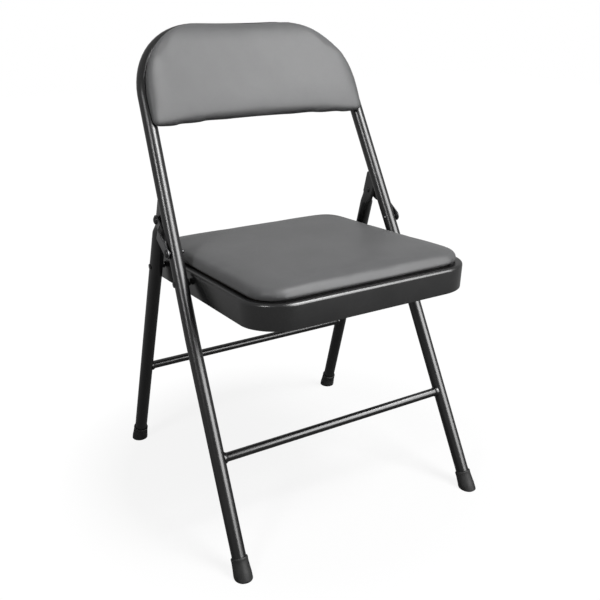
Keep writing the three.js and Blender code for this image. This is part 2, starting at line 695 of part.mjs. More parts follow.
function backPad() {
  const rear = panelFront - FIT;
  const front = rear - BACK_PAD_THICKNESS;
  const soft = BACK_PAD_ROUND;
  return bowed([
    [3, rear], [0, rear - 2], [0, front + soft], [soft * 0.3, front + soft * 0.3], [soft, front], [30, front - 2],
  ]);
}

place('back_panel', backPanel(), steel);
place('back_pad', backPad(), vinyl);

backScrewSpots.forEach((spot, i) => {
  for (const [side, label] of [[1, 'right'], [-1, 'left']]) {
    const { back, direction } = screwAxis(spot, side);
    const head = back.clone().addScaledVector(direction, -FIT);
    place(`back_screw_${label}_${i + 1}`, screw(head, direction, TUBE_DIAMETER + FIT), zinc);
  }
});

// ---------------------------------------------------------------- hinges

// Side view of a rivet's head down to its seat.
const headProfile = ({ diameter, height }) => {
  const head = diameter / 2;
  return [[0, -height], [head * 0.5, -height * 0.9], [head * 0.85, -height * 0.55], [head, 0]];
};

// A rivet along X with its head outside and a flat tail inside.
function rivet(point, outerX, innerX, head) {
  const shank = RIVET_DIAMETER / 2;
  const length = outerX - innerX;
  const tail = shank * 1.5;
  const body = [[shank, 0], [shank, length], [tail, length], [tail * 0.8, length + 1.6], [0, length + 1.8]];
  return turned([...headProfile(head), ...body], at(outerX, point), new THREE.Vector3(-1, 0, 0));
}

// One head and a plain shank; the head is on the far side when the shank runs outward.
function rivetHalf(point, headX, endX, head) {
  const shank = RIVET_DIAMETER / 2;
  const length = Math.abs(headX - endX);
  const body = [[shank, 0], [shank, length], [0, length]];
  return turned([...headProfile(head), ...body], at(headX, point), new THREE.Vector3(Math.sign(endX - headX), 0, 0));
}

function washer(point, outerX, innerX, diameter) {
  const bore = RIVET_DIAMETER / 2 + FIT;
  const profile = [[bore, 0], [diameter / 2, 0], [diameter / 2, outerX - innerX], [bore, outerX - innerX], [bore, 0]];
  return turned(profile, at(outerX, point), new THREE.Vector3(-1, 0, 0));
}

// Outside of the pan's skirt at a point's height.
const skirtAt = (drop) => SEAT_WIDTH / 2 - (APRON_TUCK * (drop - SHOULDER)) / (PAN_HEIGHT - SHOULDER);

function hingePlate() {
  const [a, b] = [underSeat(seatPivot), underSeat(legPivot)];
  const deepest = Math.max(-a.z, -b.z) + HINGE_PLATE_WIDTH / 2;
  const outerX = skirtAt(deepest) - SHEET - FIT;
  const shape = new THREE.Shape();
  const half = HINGE_PLATE_WIDTH / 2;
  const slope = Math.atan2(b.z - a.z, b.y - a.y);
  shape.absarc(a.y, a.z, half, slope + Math.PI / 2, slope + 1.5 * Math.PI, false);
  shape.absarc(b.y, b.z, half, slope - Math.PI / 2, slope + Math.PI / 2, false);
  return { shape, outerX, innerX: outerX - HINGE_PLATE_THICKNESS };
}

const plate = hingePlate();
const plateSolid = () => {
  const below = new THREE.BoxGeometry(SEAT_WIDTH * 2, SEAT_DEPTH * 2, PAN_HEIGHT);
  below.translate(0, 0, -PAN_HEIGHT / 2 - HINGE_PLATE_DROP);
  const trimmed = toManifold(alongX(plate.shape, plate.outerX, HINGE_PLATE_THICKNESS, 8)).intersect(toManifold(below));
  const geometry = toGeometry(trimmed);
  geometry.applyQuaternion(seatTurn);
  geometry.translate(...seatFront);
  let solid = toManifold(geometry);
  for (const pivot of [seatPivot, legPivot]) {
    solid = solid.subtract(pinHole(at(plate.outerX, pivot), 10));
  }
  return solid;
};
placePair('seat_hinge_plate', plateSolid(), zinc);

const frameOuter = (pivot) => pivot.x + tubeRadius;
const tabOuterX = linkTop.x + TAB_THICKNESS / 2;
const plateTail = plate.innerX - FIT;
const toeIn = (diameter) => (diameter / 2) * Math.tan(UPPER_TOE_IN * RAD);
const tabLean = (LINK_SPACER_DIAMETER / 2) * Math.tan(REAR_TOE_IN * RAD);
const spacerInnerX = tabOuterX + FIT + tabLean;
const linkTopInnerX = spacerInnerX + LINK_SPACER_LENGTH + FIT;

// A flat strap with round ends, bent inward between its two pivots.
function link() {
  const half = LINK_WIDTH / 2;
  const alongLink = at(0, linkTop).sub(at(0, linkPivot));
  const reach = alongLink.length();
  const slope = Math.atan2(alongLink.z, alongLink.y);
  const outline = new THREE.Shape();
  outline.absarc(linkPivot.y, linkPivot.z, half, slope + Math.PI / 2, slope + 1.5 * Math.PI, false);
  outline.absarc(linkTop.y, linkTop.z, half, slope - Math.PI / 2, slope + Math.PI / 2, false);
  const jogEnd = LINK_JOG_START + LINK_JOG_LENGTH;
  const inner = [[-half, linkInnerX], [LINK_JOG_START, linkInnerX], [jogEnd, linkTopInnerX], [reach + half, linkTopInnerX]];
  const outer = inner.map(([along, x]) => [along, x + LINK_THICKNESS]).reverse();
  const edge = new THREE.Shape([...inner, ...outer].map(([along, x]) => new THREE.Vector2(along, x)));
  const band = new THREE.ExtrudeGeometry(edge, { depth: 2 * LINK_WIDTH, bevelEnabled: false });
  band.translate(0, 0, -LINK_WIDTH);
  alongLink.normalize();
  const widthways = new THREE.Vector3().crossVectors(alongLink, across);
  band.applyMatrix4(new THREE.Matrix4().makeBasis(alongLink, across, widthways));
  band.translate(0, linkPivot.y, linkPivot.z);
  const block = alongX(outline, linkOuterX + LINK_WIDTH, 2 * LINK_WIDTH, 8);
  let bar = toManifold(block).intersect(toManifold(band));
  for (const pivot of [at(linkInnerX, linkPivot), at(linkTopInnerX, linkTop)]) {
    bar = bar.subtract(pinHole(pivot, 10));
  }
  return bar;
}

placePair('side_link', link(), steel);

const lowerRivetTail = linkPivot.x - tubeRadius - FIT;
placePair('seat_rivet', rivet(seatPivot, frameOuter(seatPivot) + FIT, plateTail, LOW_HEAD), zinc);
placePair('leg_rivet', rivet(legPivot, frameOuter(legPivot) + FIT, plateTail, LOW_HEAD), zinc);
placePair('link_lower_rivet', rivet(linkPivot, linkOuterX + FIT, lowerRivetTail, DOMED_HEAD), zinc);

const washerGap = (pivot) => [pivot.x - tubeRadius - FIT - toeIn(PIVOT_WASHER_DIAMETER), SEAT_WIDTH / 2 + FIT];
placePair('link_washer', washer(
  linkPivot,
  linkInnerX - FIT,
  frameOuter(linkPivot) + FIT + toeIn(PIVOT_WASHER_DIAMETER),
  PIVOT_WASHER_DIAMETER,
), zinc);
placePair('seat_washer', washer(seatPivot, ...washerGap(seatPivot), PIVOT_WASHER_DIAMETER), zinc);
placePair('leg_washer', washer(legPivot, ...washerGap(legPivot), PIVOT_WASHER_DIAMETER), zinc);

// The upper rivet is parted at the leg: its outer half and its spacer ride on the link, its inner half on the leg.
const linkTopOuterX = linkTopInnerX + LINK_THICKNESS;
const tabInnerX = linkTop.x - TAB_THICKNESS / 2 - FIT - tabLean;
placePair('link_upper_rivet', rivetHalf(linkTop, linkTopOuterX + FIT, spacerInnerX, DOMED_HEAD), zinc);
placePair('link_spacer', washer(linkTop, linkTopInnerX - FIT, spacerInnerX, LINK_SPACER_DIAMETER), zinc);
placePair('link_upper_stub', rivetHalf(linkTop, tabInnerX, tabOuterX - FIT, LOW_HEAD), zinc);

// The middle of the floor print becomes the origin.
chair.updateMatrixWorld(true);
const bounds = new THREE.Box3().setFromObject(chair);
const shift = new THREE.Vector3(-(bounds.min.x + bounds.max.x) / 2, -(bounds.min.y + bounds.max.y) / 2, -bounds.min.z);
for (const mesh of chair.children) {
  mesh.geometry.translate(shift.x, shift.y, shift.z);
}

export { shift, seatPivot, linkPivot, legPivot, linkTop, linkInnerX };
export default chair;
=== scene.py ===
"""Steel folding chair: its finished pieces, their finishes and the studio round it.

Laid out as an add-on and run as a script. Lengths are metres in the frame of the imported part:
-Y is the front, +Z is up, and left and right are as seen from in front.
"""
import math

import bpy
from bpy.props import FloatProperty, FloatVectorProperty, IntProperty, PointerProperty
from mathutils import Matrix, Quaternion, Vector


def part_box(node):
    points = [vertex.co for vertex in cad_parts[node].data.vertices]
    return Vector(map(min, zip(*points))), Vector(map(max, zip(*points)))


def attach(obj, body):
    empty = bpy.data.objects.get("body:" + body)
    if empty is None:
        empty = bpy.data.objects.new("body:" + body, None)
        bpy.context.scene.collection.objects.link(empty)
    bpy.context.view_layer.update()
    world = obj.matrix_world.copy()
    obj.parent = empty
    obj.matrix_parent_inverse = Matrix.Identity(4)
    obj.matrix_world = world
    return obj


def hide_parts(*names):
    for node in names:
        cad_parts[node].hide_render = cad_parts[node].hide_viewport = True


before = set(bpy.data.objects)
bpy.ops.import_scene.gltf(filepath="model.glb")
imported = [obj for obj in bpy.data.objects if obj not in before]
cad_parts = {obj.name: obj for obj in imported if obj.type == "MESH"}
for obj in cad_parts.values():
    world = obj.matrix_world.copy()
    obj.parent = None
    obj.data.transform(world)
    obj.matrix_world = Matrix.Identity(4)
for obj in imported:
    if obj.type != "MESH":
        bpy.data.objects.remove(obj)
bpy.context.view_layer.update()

bl_info = {
    "name": "Folding Chair Finisher",
    "version": (1, 0, 0),
    "blender": (4, 5, 0),
    "location": "3D View > Sidebar > Chair",
    "description": "Models the finished pieces of a folding chair over its frame and sets up a studio",
    "category": "Add Mesh",
}

SIDES = (("left", -1), ("right", 1))
CLOSE = 1e-5  # how near each other two places count as one
FIT = 0.0003  # air between two pieces that move on each other

KNEE_STEPS = (-0.012, -0.004, 0.004, 0.012)  # the bend at the knee is spread over these
ARCH_STEPS = 18
BAR_SINK = 0.003  # how far a crossbar reaches into the outline of a leg
WELD = ((0.0022, 0), (0.0019, 0.0036), (0.0009, 0.0052), (0, 0.0066))  # out from the bar, and along it

TAB_START = 0.492  # the flattened end of the rear leg, measured up the leg
TAB_END = 0.552
TAB_BLEND = 0.017  # length over which the round tube turns flat
TAB_SHARES = (0.14, 0.28, 0.42, 0.56, 0.70, 0.84, 1.0)
TAB_FLAT = 0.46  # share of the width that is pressed quite flat
TAB_TIP = 0.599  # end of the tab, along the front leg
TAB_GAP = 0.0012  # air between the tab and the back of the front leg
TAB_CUTS = ((0.0, 0.0), (20.0, 0.0009), (42.0, 0.0030), (66.0, 0.0062), (90.0, 0.0105))  # degrees, depth

TIP_FLOOR = 0.0092  # inside of a tip, where the tube ends
TIP_OUTSIDE = (
    (0, -0.0088), (0.0112, -0.0088), (0.0131, -0.0080), (0.0140, -0.0064), (0.0142, -0.0040),
    (0.0142, 0.0062), (0.0139, 0.0085), (0.0134, 0.0150), (0.0130, 0.0215), (0.0129, 0.0262),
    (0.0131, 0.0268), (0.0131, 0.0288), (0.0127, 0.0298), (0.0120, 0.0300),
)

RECESS_EDGE = 0.0012  # softness of the edge of the recess in the pan
PANEL_BEHIND = 0.0013  # front of the back panel, behind the front of the tube
PANEL_INSET = 0.005
PANEL_BORDER = ((0.006, 0), (0.002, -0.0008))  # width and depth of each step of its border
PANEL_SHEET = 0.001
PANEL_STRIPS = 22

JOG_START = 0.042  # the two bends of a side link, measured up the link
JOG_END = 0.055
JOG_BEND = 0.0035

RIVET_SHANK = 0.0032
RIVET_TAIL = 0.0006
RIVET_EASE = 0.0003
RING_EASE = 0.0006
LINK_HEAD = 0.0028  # height of the broad heads, on the links
LEG_HEAD = 0.001
BROAD_HEAD = 0.006  # radius past which a head is a broad one
# The two domes are pairs of shares: of the head's radius, and of its height.
DOME = ((0.18, 1.0), (0.42, 0.95), (0.62, 0.84), (0.78, 0.67), (0.90, 0.45), (0.97, 0.22), (1.0, 0.0))
SCREW_HEAD = 0.0024
SCREW_DOME = ((0.45, 0), (0.66, 0.06), (0.84, 0.24), (0.95, 0.5), (1, 0.8), (1, 1))
SCREW_SHANK = 0.0018
SCREW_POINT = 0.0005  # the chamfer at a screw's end
SCREW_RECESS = 0.0009

PAD_FREE = 0.008  # height over which a pad is set free as it is inflated
PAD_FOOT = 0.004  # height over which ironing leaves the foot flat
SEAT_PAD_LIFT = 0.0007
BACK_PAD_BEHIND = 0.0016  # foot of the back pad, behind the front of the tube

DUST = (0.32, 0.31, 0.3, 1)
STUDIO_FLOOR = 12
FLOOR_LIFT = (0.30, 0.46)  # distances over which the floor turns to plain white for the eye
FLOOR_FADE = (0.3, 1.2)  # the same for its reflected image, from near to far
ROOM_FADE = (-0.25, 0.35)  # how far back the room's reflected image turns into the backdrop's
LAMP_TARGET = (0, 0, 0.4)
LAMPS = (  # name, place, width and height
    ("key", (0.75, -1.05, 2.35), 0.9, 0.9),
    ("side", (-1.95, -0.95, 1.75), 0.42, 0.9),
    ("gloss", (1.02, -1.95, 1.45), 2.0, 1.9),
)


def length(name, description, default):
    """A length property, in metres."""
    return FloatProperty(name=name, description=description, default=default, unit="LENGTH", precision=4)


def angle(name, description, degrees):
    """An angle property, given in degrees and kept in radians."""
    return FloatProperty(name=name, description=description, default=math.radians(degrees), subtype="ANGLE")


def number(name, description, default, unit="NONE"):
    """A plain number, or one in a unit."""
    return FloatProperty(name=name, description=description, default=default, unit=unit)


def factor(name, description, default):
    """A share between nothing and all."""
    return FloatProperty(name=name, description=description, default=default, min=0, max=1, subtype="FACTOR")


def colour(name, description, default):
    """A linear colour property."""
    return FloatVectorProperty(name=name, description=description, default=default, size=3, min=0, max=1,
                               subtype="COLOR")


# ---------------------------------------------------------------- sizes and colours

class ChairFrameSizes(bpy.types.PropertyGroup):
    """Sizes of the tube frame."""

    tube: length("Tube", "Outside diameter of the leg tube", 0.022)
    foot_y: length("Foot distance", "Middle of the chair to the axis of the feet, fore and aft", 0.2269)
    offset_y: length("Offset", "Shift of the leg layout from the middle of the floor print", 0.00027)
    lean: angle("Frame lean", "Backward lean of the front frame", 28.5)
    reach: length("Frame length", "Floor to the top rail, along the lean", 0.863)
    foot_x: length("Front foot", "Half the distance between the front feet", 0.220)
    knee: length("Knee", "Floor to the slight bend under the seat, along the lean", 0.360)
    toe_low: angle("Lower toe-in", "Inward lean below the knee", 1.57)
    toe_high: angle("Upper toe-in", "Inward lean above the knee", 2.67)
    arch: length("Arch radius", "Bend radius of the two upper corners", 0.123)
    bow: length("Bow", "How far the top rail curves backward", 0.018)
    rear_lean: angle("Rear lean", "Forward lean of the rear legs", 18.3)
    rear_toe: angle("Rear toe-in", "Inward lean of the rear legs", 1.82)
    rear_x: length("Rear foot", "Half the distance between the rear feet", 0.2177)
    tube_start: length("Tube start", "Rubber under the end of each tube", 0.0093)
    bar: length("Crossbar", "Outside diameter of the crossbars", 0.0143)
    front_bar_z: length("Front crossbar", "Height of the front crossbar", 0.1546)
    rear_bar_z: length("Rear crossbar", "Height of the rear crossbar", 0.1771)
    tab_width: length("Tab width", "Width of the flattened end of the rear leg", 0.029)
    tab_thickness: length("Tab thickness", "Thickness of the flattened end", 0.006)


class ChairSeatSizes(bpy.types.PropertyGroup):
    """Sizes of the seat pan."""

    width: length("Width", "Width of the pan", 0.3814)
    depth: length("Depth", "Depth of the pan", 0.4116)
    front_y: length("Front", "Place of the pan's front edge", -0.23823)
    front_z: length("Height", "Height of the pan's front edge", 0.425)
    tilt: angle("Tilt", "Front edge up", 3.96)
    front_radius: length("Front corners", "Radius of the front corners", 0.062)
    rear_radius: length("Rear corners", "Radius of the rear corners", 0.050)
    skirt: length("Skirt", "Height of the pan's skirt", 0.039)
    tuck: length("Tuck", "How far the skirt draws in at its lower edge", 0.0025)
    shoulder: length("Shoulder", "Radius of the pan's upper edge", 0.005)
    rim: length("Rim", "Outside of the pan to the recess for the pad", 0.013)
    recess: length("Recess", "Depth of the recess", 0.004)
    hem: length("Hem", "Width of the lower edge, turned inward", 0.004)
    sheet: length("Sheet", "Thickness of the pressed sheet", 0.001)


class ChairPadSizes(bpy.types.PropertyGroup):
    """Sizes of the two padded pieces."""

    seat_gap: length("Seat pad gap", "Gap between the recess and the foot of the seat pad", 0.003)
    seat_edge: length("Seat pad edge", "Height of the seat pad at its border", 0.012)
    seat_crown: length("Seat pad crown", "Height of the crown over the border", 0.011)
    back_low: length("Back bottom", "Lower edge of the back, along the lean", 0.694)
    back_edge: length("Back pad edge", "Thickness of the back pad at its border", 0.005)
    back_crown: length("Back pad crown", "Height of the crown over the border", 0.014)
    back_proud: length("Back proud", "How far the cover stands past the foam", 0.0006)
    back_fall: length("Back fall", "Width over which the back pad drops to its border", 0.040)
    back_roll: length("Back roll", "The same at its lower edge", 0.066)
    seat_fall: length("Seat fall", "Width over which the seat pad drops to its border", 0.050)
    seat_proud: length("Seat proud", "How far the sides of the seat pad stand over the rim", 0.001)
    back_soft: length("Back edge", "Rounding of the back pad's front edge", 0.0035)
    seat_soft: length("Seat edge", "Rounding of the seat pad's upper edge", 0.0105)
    seat_bulge: length("Seat bulge", "How far the sides of the seat pad stand past its foot", 0.003)
    back_bulge: length("Back bulge", "The same for the back pad", 0.001)
    swell: length("Swell", "Most that a point of a pad moves as it is inflated", 0.005)
    slack: length("Slack", "How much smaller a pad is before it is inflated", 0.0012)
    back_over: length("Back overlap", "Border of the back past the centre line of the tube", 0.0015)
    back_corner: length("Back corner", "Radius of the lower corners of the back", 0.017)
    back_rise: length("Back rise", "Rise of the lower edge at the middle", 0.009)
    voxel: length("Remesh", "Grid of the seat pad before it is inflated", 0.004)
    back_voxel: length("Back remesh", "The same for the thinner back pad", 0.0032)
    frames: IntProperty(name="Frames", description="Frames of the inflation", default=20, min=2)
    pressure: number("Pressure", "Air pressure of the inflation", 4)


class ChairFinishes(bpy.types.PropertyGroup):
    """Colours and roughness of the finishes."""

    steel: colour("Frame", "Powder coat of the frame", (0.0035, 0.0035, 0.0038))
    steel_roughness: factor("Frame roughness", "Roughness of the powder coat", 0.29)
    fastener: colour("Fasteners", "Coating of rivets, washers and screws", (0.022, 0.022, 0.023))
    link: colour("Links", "Coating of the two side links", (0.05, 0.05, 0.052))
    vinyl: colour("Cover", "Vinyl of the seat and the back", (0.124, 0.125, 0.127))
    vinyl_roughness: factor("Cover roughness", "Roughness of the vinyl", 0.40)
    rubber: colour("Rubber", "Tips under the legs", (0.016, 0.016, 0.016))
    # The board's near-black colour is painted shade: it makes the gap round the seat pad read as a shadow.
    board: colour("Board", "Stained hardboard under the seat pad", (0.024, 0.020, 0.016))


class ChairStudio(bpy.types.PropertyGroup):
    """The camera and the lights."""

    lens: number("Lens", "Focal length in millimetres", 45.75)
    place: FloatVectorProperty(name="Camera", description="Place of the camera", subtype="TRANSLATION",
                               default=(-0.6092, -1.0463, 0.7989))
    turn: angle("Camera turn", "Heading of the camera, from +Y towards +X", 30.73)
    dip: angle("Camera dip", "Downward tilt of the camera", 21.53)
    key: number("Key", "Power of the broad lamp in front", 54, "POWER")
    side: number("Side", "Power of the lamp at the left", 20, "POWER")
    gloss: number("Gloss", "Power of the lamp that shows only in reflections", 105, "POWER")
    ambient: number("Ambient", "Strength of the world's light", 0.08)
    room: factor("Room", "Strength of the room in front of the chair, in reflections", 0.27)
    backdrop: factor("Backdrop", "Strength of the backdrop behind the chair, in reflections", 0.42)
    floor_tone: factor("Floor", "Tone of the floor under the chair's shadow", 0.85)
    floor_bounce: factor("Floor bounce", "Tone of the floor where it lights the chair from below", 0.30)
    floor_near: factor("Floor near", "Strength of the floor close to the chair, in reflections", 0.14)
    floor_far: factor("Floor far", "Strength of the floor away from the chair, in reflections", 0.38)
    floor_lift: factor("Floor lift", "Share of plain white in the floor round the chair", 0.86)
    floor_white: number("Floor white", "Strength of that white", 1.02)


GROUPS = {
    "chair_frame": ChairFrameSizes,
    "chair_seat": ChairSeatSizes,
    "chair_pads": ChairPadSizes,
    "chair_finish": ChairFinishes,
    "chair_studio": ChairStudio,
}


# ---------------------------------------------------------------- places

def frame_point(sizes, across, along, behind=0):
    """A point on the leaning frame: across, along the lean from the floor, and behind its plane."""
    sine, cosine = math.sin(sizes.lean), math.cos(sizes.lean)
    return Vector((
        across,
        -sizes.foot_y + sizes.offset_y + along * sine + behind * cosine,
        along * cosine - behind * sine,
    ))


def frame_half_width(sizes, along):
    """Centre line of the front leg from the middle of the chair, at a distance along the lean."""
    low = math.tan(sizes.toe_low) * min(along, sizes.knee)
    return sizes.foot_x - low - math.tan(sizes.toe_high) * max(along - sizes.knee, 0)


def arch_half_width(sizes):
    """Half the width of the frame where its upper corners start to bend."""
    return frame_half_width(sizes, sizes.reach - sizes.arch)


def bow_at(sizes, across):
    """How far behind the frame's plane the back curves at a place across it."""
    return sizes.bow * (1 - min((across / arch_half_width(sizes)) ** 2, 1))


def placed_axes(origin, *axes):
    """A layout whose origin and whose X, Y and Z axes lie where they are given."""
    return Matrix.Translation(origin) @ Matrix(axes).transposed().to_4x4()


def standing(point, axis):
    """A layout that stands at a point with its Z along an axis of length 1."""
    lean = Vector((0, 0, 1)).rotation_difference(axis)
    return Matrix.Translation(point) @ lean.to_matrix().to_4x4()


def back_matrix(sizes):
    """The back's own layout: X across, Y behind and Z along the lean."""
    origin = frame_point(sizes, 0, 0)
    behind, along = frame_point(sizes, 0, 0, 1) - origin, frame_point(sizes, 0, 1) - origin
    return placed_axes(origin, Vector((1, 0, 0)), behind, along)


def rear_axis(sizes, side):
    """Direction of a rear leg, upward."""
    back, up = -math.sin(sizes.rear_lean), math.cos(sizes.rear_lean)
    return Vector((-side * math.tan(sizes.rear_toe), back, up)).normalized()


def rear_foot(sizes, side):
    """Foot of a rear leg's centre line."""
    return Vector((side * sizes.rear_x, sizes.foot_y + sizes.offset_y, 0))


def rear_matrix(sizes, side):
    """A rear leg's own layout: Z up the leg, with its flat sides to X."""
    axis = rear_axis(sizes, side)
    backward = axis.cross(Vector((1, 0, 0))).normalized()
    return placed_axes(rear_foot(sizes, side), backward.cross(axis), backward, axis)


def seat_matrix(seat):
    """The pan's own layout: X across, Y back from its front edge, Z up from its top."""
    return Matrix.Translation((0, seat.front_y, seat.front_z)) @ Matrix.Rotation(-seat.tilt, 4, "X")


# ---------------------------------------------------------------- modelling by hand

def deselect():
    """Leaves nothing selected, in object mode."""
    if bpy.context.object and bpy.context.object.mode != "OBJECT":
        bpy.ops.object.mode_set(mode="OBJECT")
    bpy.ops.object.select_all(action="DESELECT")


def pick(obj):
    """Makes an object the only selected and active one."""
    deselect()
    obj.select_set(True)
    bpy.context.view_layer.objects.active = obj


def editing(obj, kind="VERT"):
    """Opens an object in edit mode with all of it selected."""
    pick(obj)
    bpy.ops.object.mode_set(mode="EDIT")
    bpy.ops.mesh.select_mode(type=kind)
    bpy.ops.mesh.select_all(action="SELECT")


def close_edit():
    """Back to object mode."""
    bpy.ops.object.mode_set(mode="OBJECT")


def choose(obj, kind, test):
    """Selects in edit mode the vertices, edges or faces whose place and normal pass a test."""
    bpy.ops.mesh.select_mode(type=kind)
    bpy.ops.mesh.select_all(action="DESELECT")
    bpy.ops.object.mode_set(mode="OBJECT")
    mesh = obj.data
    if kind == "VERT":
        for vertex in mesh.vertices:
            vertex.select = test(vertex.co)
    elif kind == "EDGE":
        for edge in mesh.edges:
            edge.select = all(test(mesh.vertices[i].co) for i in edge.vertices)
    else:
        for face in mesh.polygons:
            face.select = test(face.center, face.normal)
    bpy.ops.object.mode_set(mode="EDIT")


def shift(x=0, y=0, z=0):
    """Moves the selection."""
    bpy.ops.transform.translate(value=(x, y, z))


def scale(factors, centre):
    """Scales the selection about a point."""
    bpy.ops.transform.resize(value=factors, center_override=centre)


def turn(rotation, centre):
    """Turns the selection about a point; without a window the operator turns the other way round."""
    for axis, value in zip("XYZ", rotation.to_euler("XYZ")):
        if abs(value) > 1e-6:
            bpy.ops.transform.rotate(
                value=-value, orient_axis=axis, orient_type="GLOBAL", center_override=centre)


def draw_out(step):
    """Extrudes the selection by a step and leaves the new end selected."""
    bpy.ops.mesh.extrude_region_move(TRANSFORM_OT_translate={"value": step})


def round_off(radius, segments, affect="EDGES"):
    """Rounds the selected edges or corners."""
    bpy.ops.mesh.bevel(offset=radius, segments=segments, profile=0.5, affect=affect)


def inset_steps(*steps):
    """Insets the selected face step by step; each step has its width and its depth."""
    for width, depth in steps:
        bpy.ops.mesh.inset(thickness=width, depth=depth)


def cut(place, normal, **settings):
    """Cuts all of the mesh along a plane."""
    bpy.ops.mesh.select_all(action="SELECT")
    bpy.ops.mesh.bisect(plane_co=place, plane_no=normal, **settings)


def make_solid():
    """Joins doubled points and turns every face outward."""
    bpy.ops.mesh.select_all(action="SELECT")
    bpy.ops.mesh.remove_doubles(threshold=1e-6)
    bpy.ops.mesh.normals_make_consistent(inside=False)


def close_solid():
    """Makes an edited mesh solid and goes back to object mode."""
    make_solid()
    close_edit()


def apply_modifier(obj, kind, **settings):
    """Adds a modifier, sets it and applies it."""
    pick(obj)
    modifier = obj.modifiers.new(kind.title(), kind)
    for name, value in settings.items():
        setattr(modifier, name, value)
    bpy.ops.object.modifier_apply(modifier=modifier.name)


def settle(obj, matrix=None, degrees=35):
    """Puts a piece in its place, applies that to its mesh and shades it smooth over blunter edges."""
    pick(obj)
    if matrix is not None:
        obj.matrix_world = matrix
    bpy.ops.object.transform_apply(location=True, rotation=True, scale=True)
    bpy.ops.object.shade_smooth_by_angle(angle=math.radians(degrees))


def ease_edges(obj, width, degrees, segments=2):
    """Rounds the edges of a settled piece that are sharper than an angle."""
    apply_modifier(
        obj, "BEVEL", width=width, segments=segments, limit_method="ANGLE", angle_limit=math.radians(degrees))
    settle(obj)


def paint(obj, finish):
    """Gives a piece its material."""
    obj.data.materials.clear()
    obj.data.materials.append(Finishes.get(finish))


def finish_piece(obj, body, finish, node):
    """Gives a piece its material, the body it moves with and the node it stands for."""
    paint(obj, finish)
    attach(obj, body)
    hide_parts(node)


def ring(name, radius, sides):
    """An open ring round Z at the origin, in edit mode."""
    deselect()
    bpy.ops.mesh.primitive_circle_add(vertices=sides, radius=radius, fill_type="NOTHING", location=(0, 0, 0))
    obj = bpy.context.object
    obj.name = name
    editing(obj)
    return obj


def swept_tube(name, stations, radius, sides):
    """A ring drawn out from station to station, turned square to the route at each, with closed ends."""
    steps = [(b - a).normalized() for a, b in zip(stations, stations[1:])]
    headings = [steps[0]] + [(a + b).normalized() for a, b in zip(steps, steps[1:])] + [steps[-1]]
    obj = ring(name, radius, sides)
    bpy.ops.mesh.edge_face_add()
    turn(Vector((0, 0, 1)).rotation_difference(headings[0]), (0, 0, 0))
    shift(*stations[0])
    for i in range(1, len(stations)):
        draw_out(stations[i] - stations[i - 1])
        turn(headings[i - 1].rotation_difference(headings[i]), stations[i])
    close_solid()
    return obj


def turned_piece(name, profile, sides=28):
    """A ring drawn out and scaled along a profile of (radius, height) pairs. A radius of 0 closes an end."""
    first = next(i for i, (radius, _) in enumerate(profile) if radius > 0)
    obj = ring(name, profile[first][0], sides)
    shift(z=profile[first][1])
    closed = profile[0] == profile[-1]
    if not closed:
        bpy.ops.mesh.edge_face_add()
        choose(obj, "VERT", lambda co: True)
    radius, height = profile[first]
    for next_radius, next_height in profile[first + 1:]:
        if next_radius == 0:
            break
        draw_out((0, 0, next_height - height))
        share = next_radius / radius
        scale((share, share, 1), (0, 0, next_height))
        radius, height = next_radius, next_height
    close_solid()
    return obj


def rounded_plate(name, half_width, low, high, low_radius, high_radius, segments=14):
    """A flat face in X and Y from low to high, its four corners rounded."""
    deselect()
    bpy.ops.mesh.primitive_plane_add(size=1, location=(0, 0, 0))
    obj = bpy.context.object
    obj.name = name
    editing(obj)
    middle = (low + high) / 2
    scale((2 * half_width, high - low, 1), (0, 0, 0))
    shift(y=middle)
    for radius, end in ((low_radius, -1), (high_radius, 1)):
        choose(obj, "VERT", lambda co, end=end: (
            (co.y - middle) * end > 0 and abs(abs(co.x) - half_width) < 1e-6))
        round_off(radius, segments, "VERTICES")
    return obj


def at_height(z):
    """A test for points at a height of the layout."""
    return lambda co: abs(co.z - z) < CLOSE


def clamp(value):
    """A value kept between 0 and 1."""
    return min(max(value, 0), 1)


def curve_back(obj, sizes):
    """Bends a layout of X across and Y behind so that its middle stands back by the bow of the frame."""
    half = max(abs(vertex.co.x) for vertex in obj.data.vertices)
    radius = (arch_half_width(sizes) ** 2 + sizes.bow ** 2) / (2 * sizes.bow)
    turn_angle = math.asin(half / radius)
    editing(obj)
    scale((turn_angle * radius / half, 1, 1), (0, 0, 0))
    close_edit()
    apply_modifier(obj, "SIMPLE_DEFORM", deform_method="BEND", deform_axis="Z", angle=-2 * turn_angle)
    editing(obj)
    shift(y=sizes.bow)
    close_edit()


# ---------------------------------------------------------------- shader parts

def feed(tree, value, socket):
    """Links a socket, or sets a number or colour."""
    if isinstance(value, bpy.types.NodeSocket):
        tree.links.new(value, socket)
    else:
        socket.default_value = value


def add_node(tree, kind, inputs, **settings):
    """A node with its settings and its inputs, which may be sockets or values."""
    node = tree.nodes.new(f"ShaderNode{kind}")
    for name, value in settings.items():
        setattr(node, name, value)
    for label, value in inputs.items():
        feed(tree, value, node.inputs[label])
    return node


def new_group(name, scales, outputs):
    """A shader node group fed a vector and some scales, which puts out masks; gives it and its two ends."""
    group = bpy.data.node_groups.new(name, "ShaderNodeTree")
    group.interface.new_socket("Vector", in_out="INPUT", socket_type="NodeSocketVector")
    for label, value in scales.items():
        group.interface.new_socket(label, in_out="INPUT", socket_type="NodeSocketFloat").default_value = value
    for label in outputs:
        group.interface.new_socket(label, in_out="OUTPUT", socket_type="NodeSocketFloat")
    return group, group.nodes.new("NodeGroupInput"), group.nodes.new("NodeGroupOutput")


def noise(tree, vector, size, detail, roughness=0.5):
    """A noise texture; size may be a number or a socket."""
    inputs = {"Vector": vector, "Scale": size, "Detail": detail, "Roughness": roughness}
    return add_node(tree, "TexNoise", inputs).outputs["Fac"]


def calc(tree, operation, one, two):
    """A maths node on two values."""
    return add_node(tree, "Math", {0: one, 1: two}, operation=operation).outputs[0]


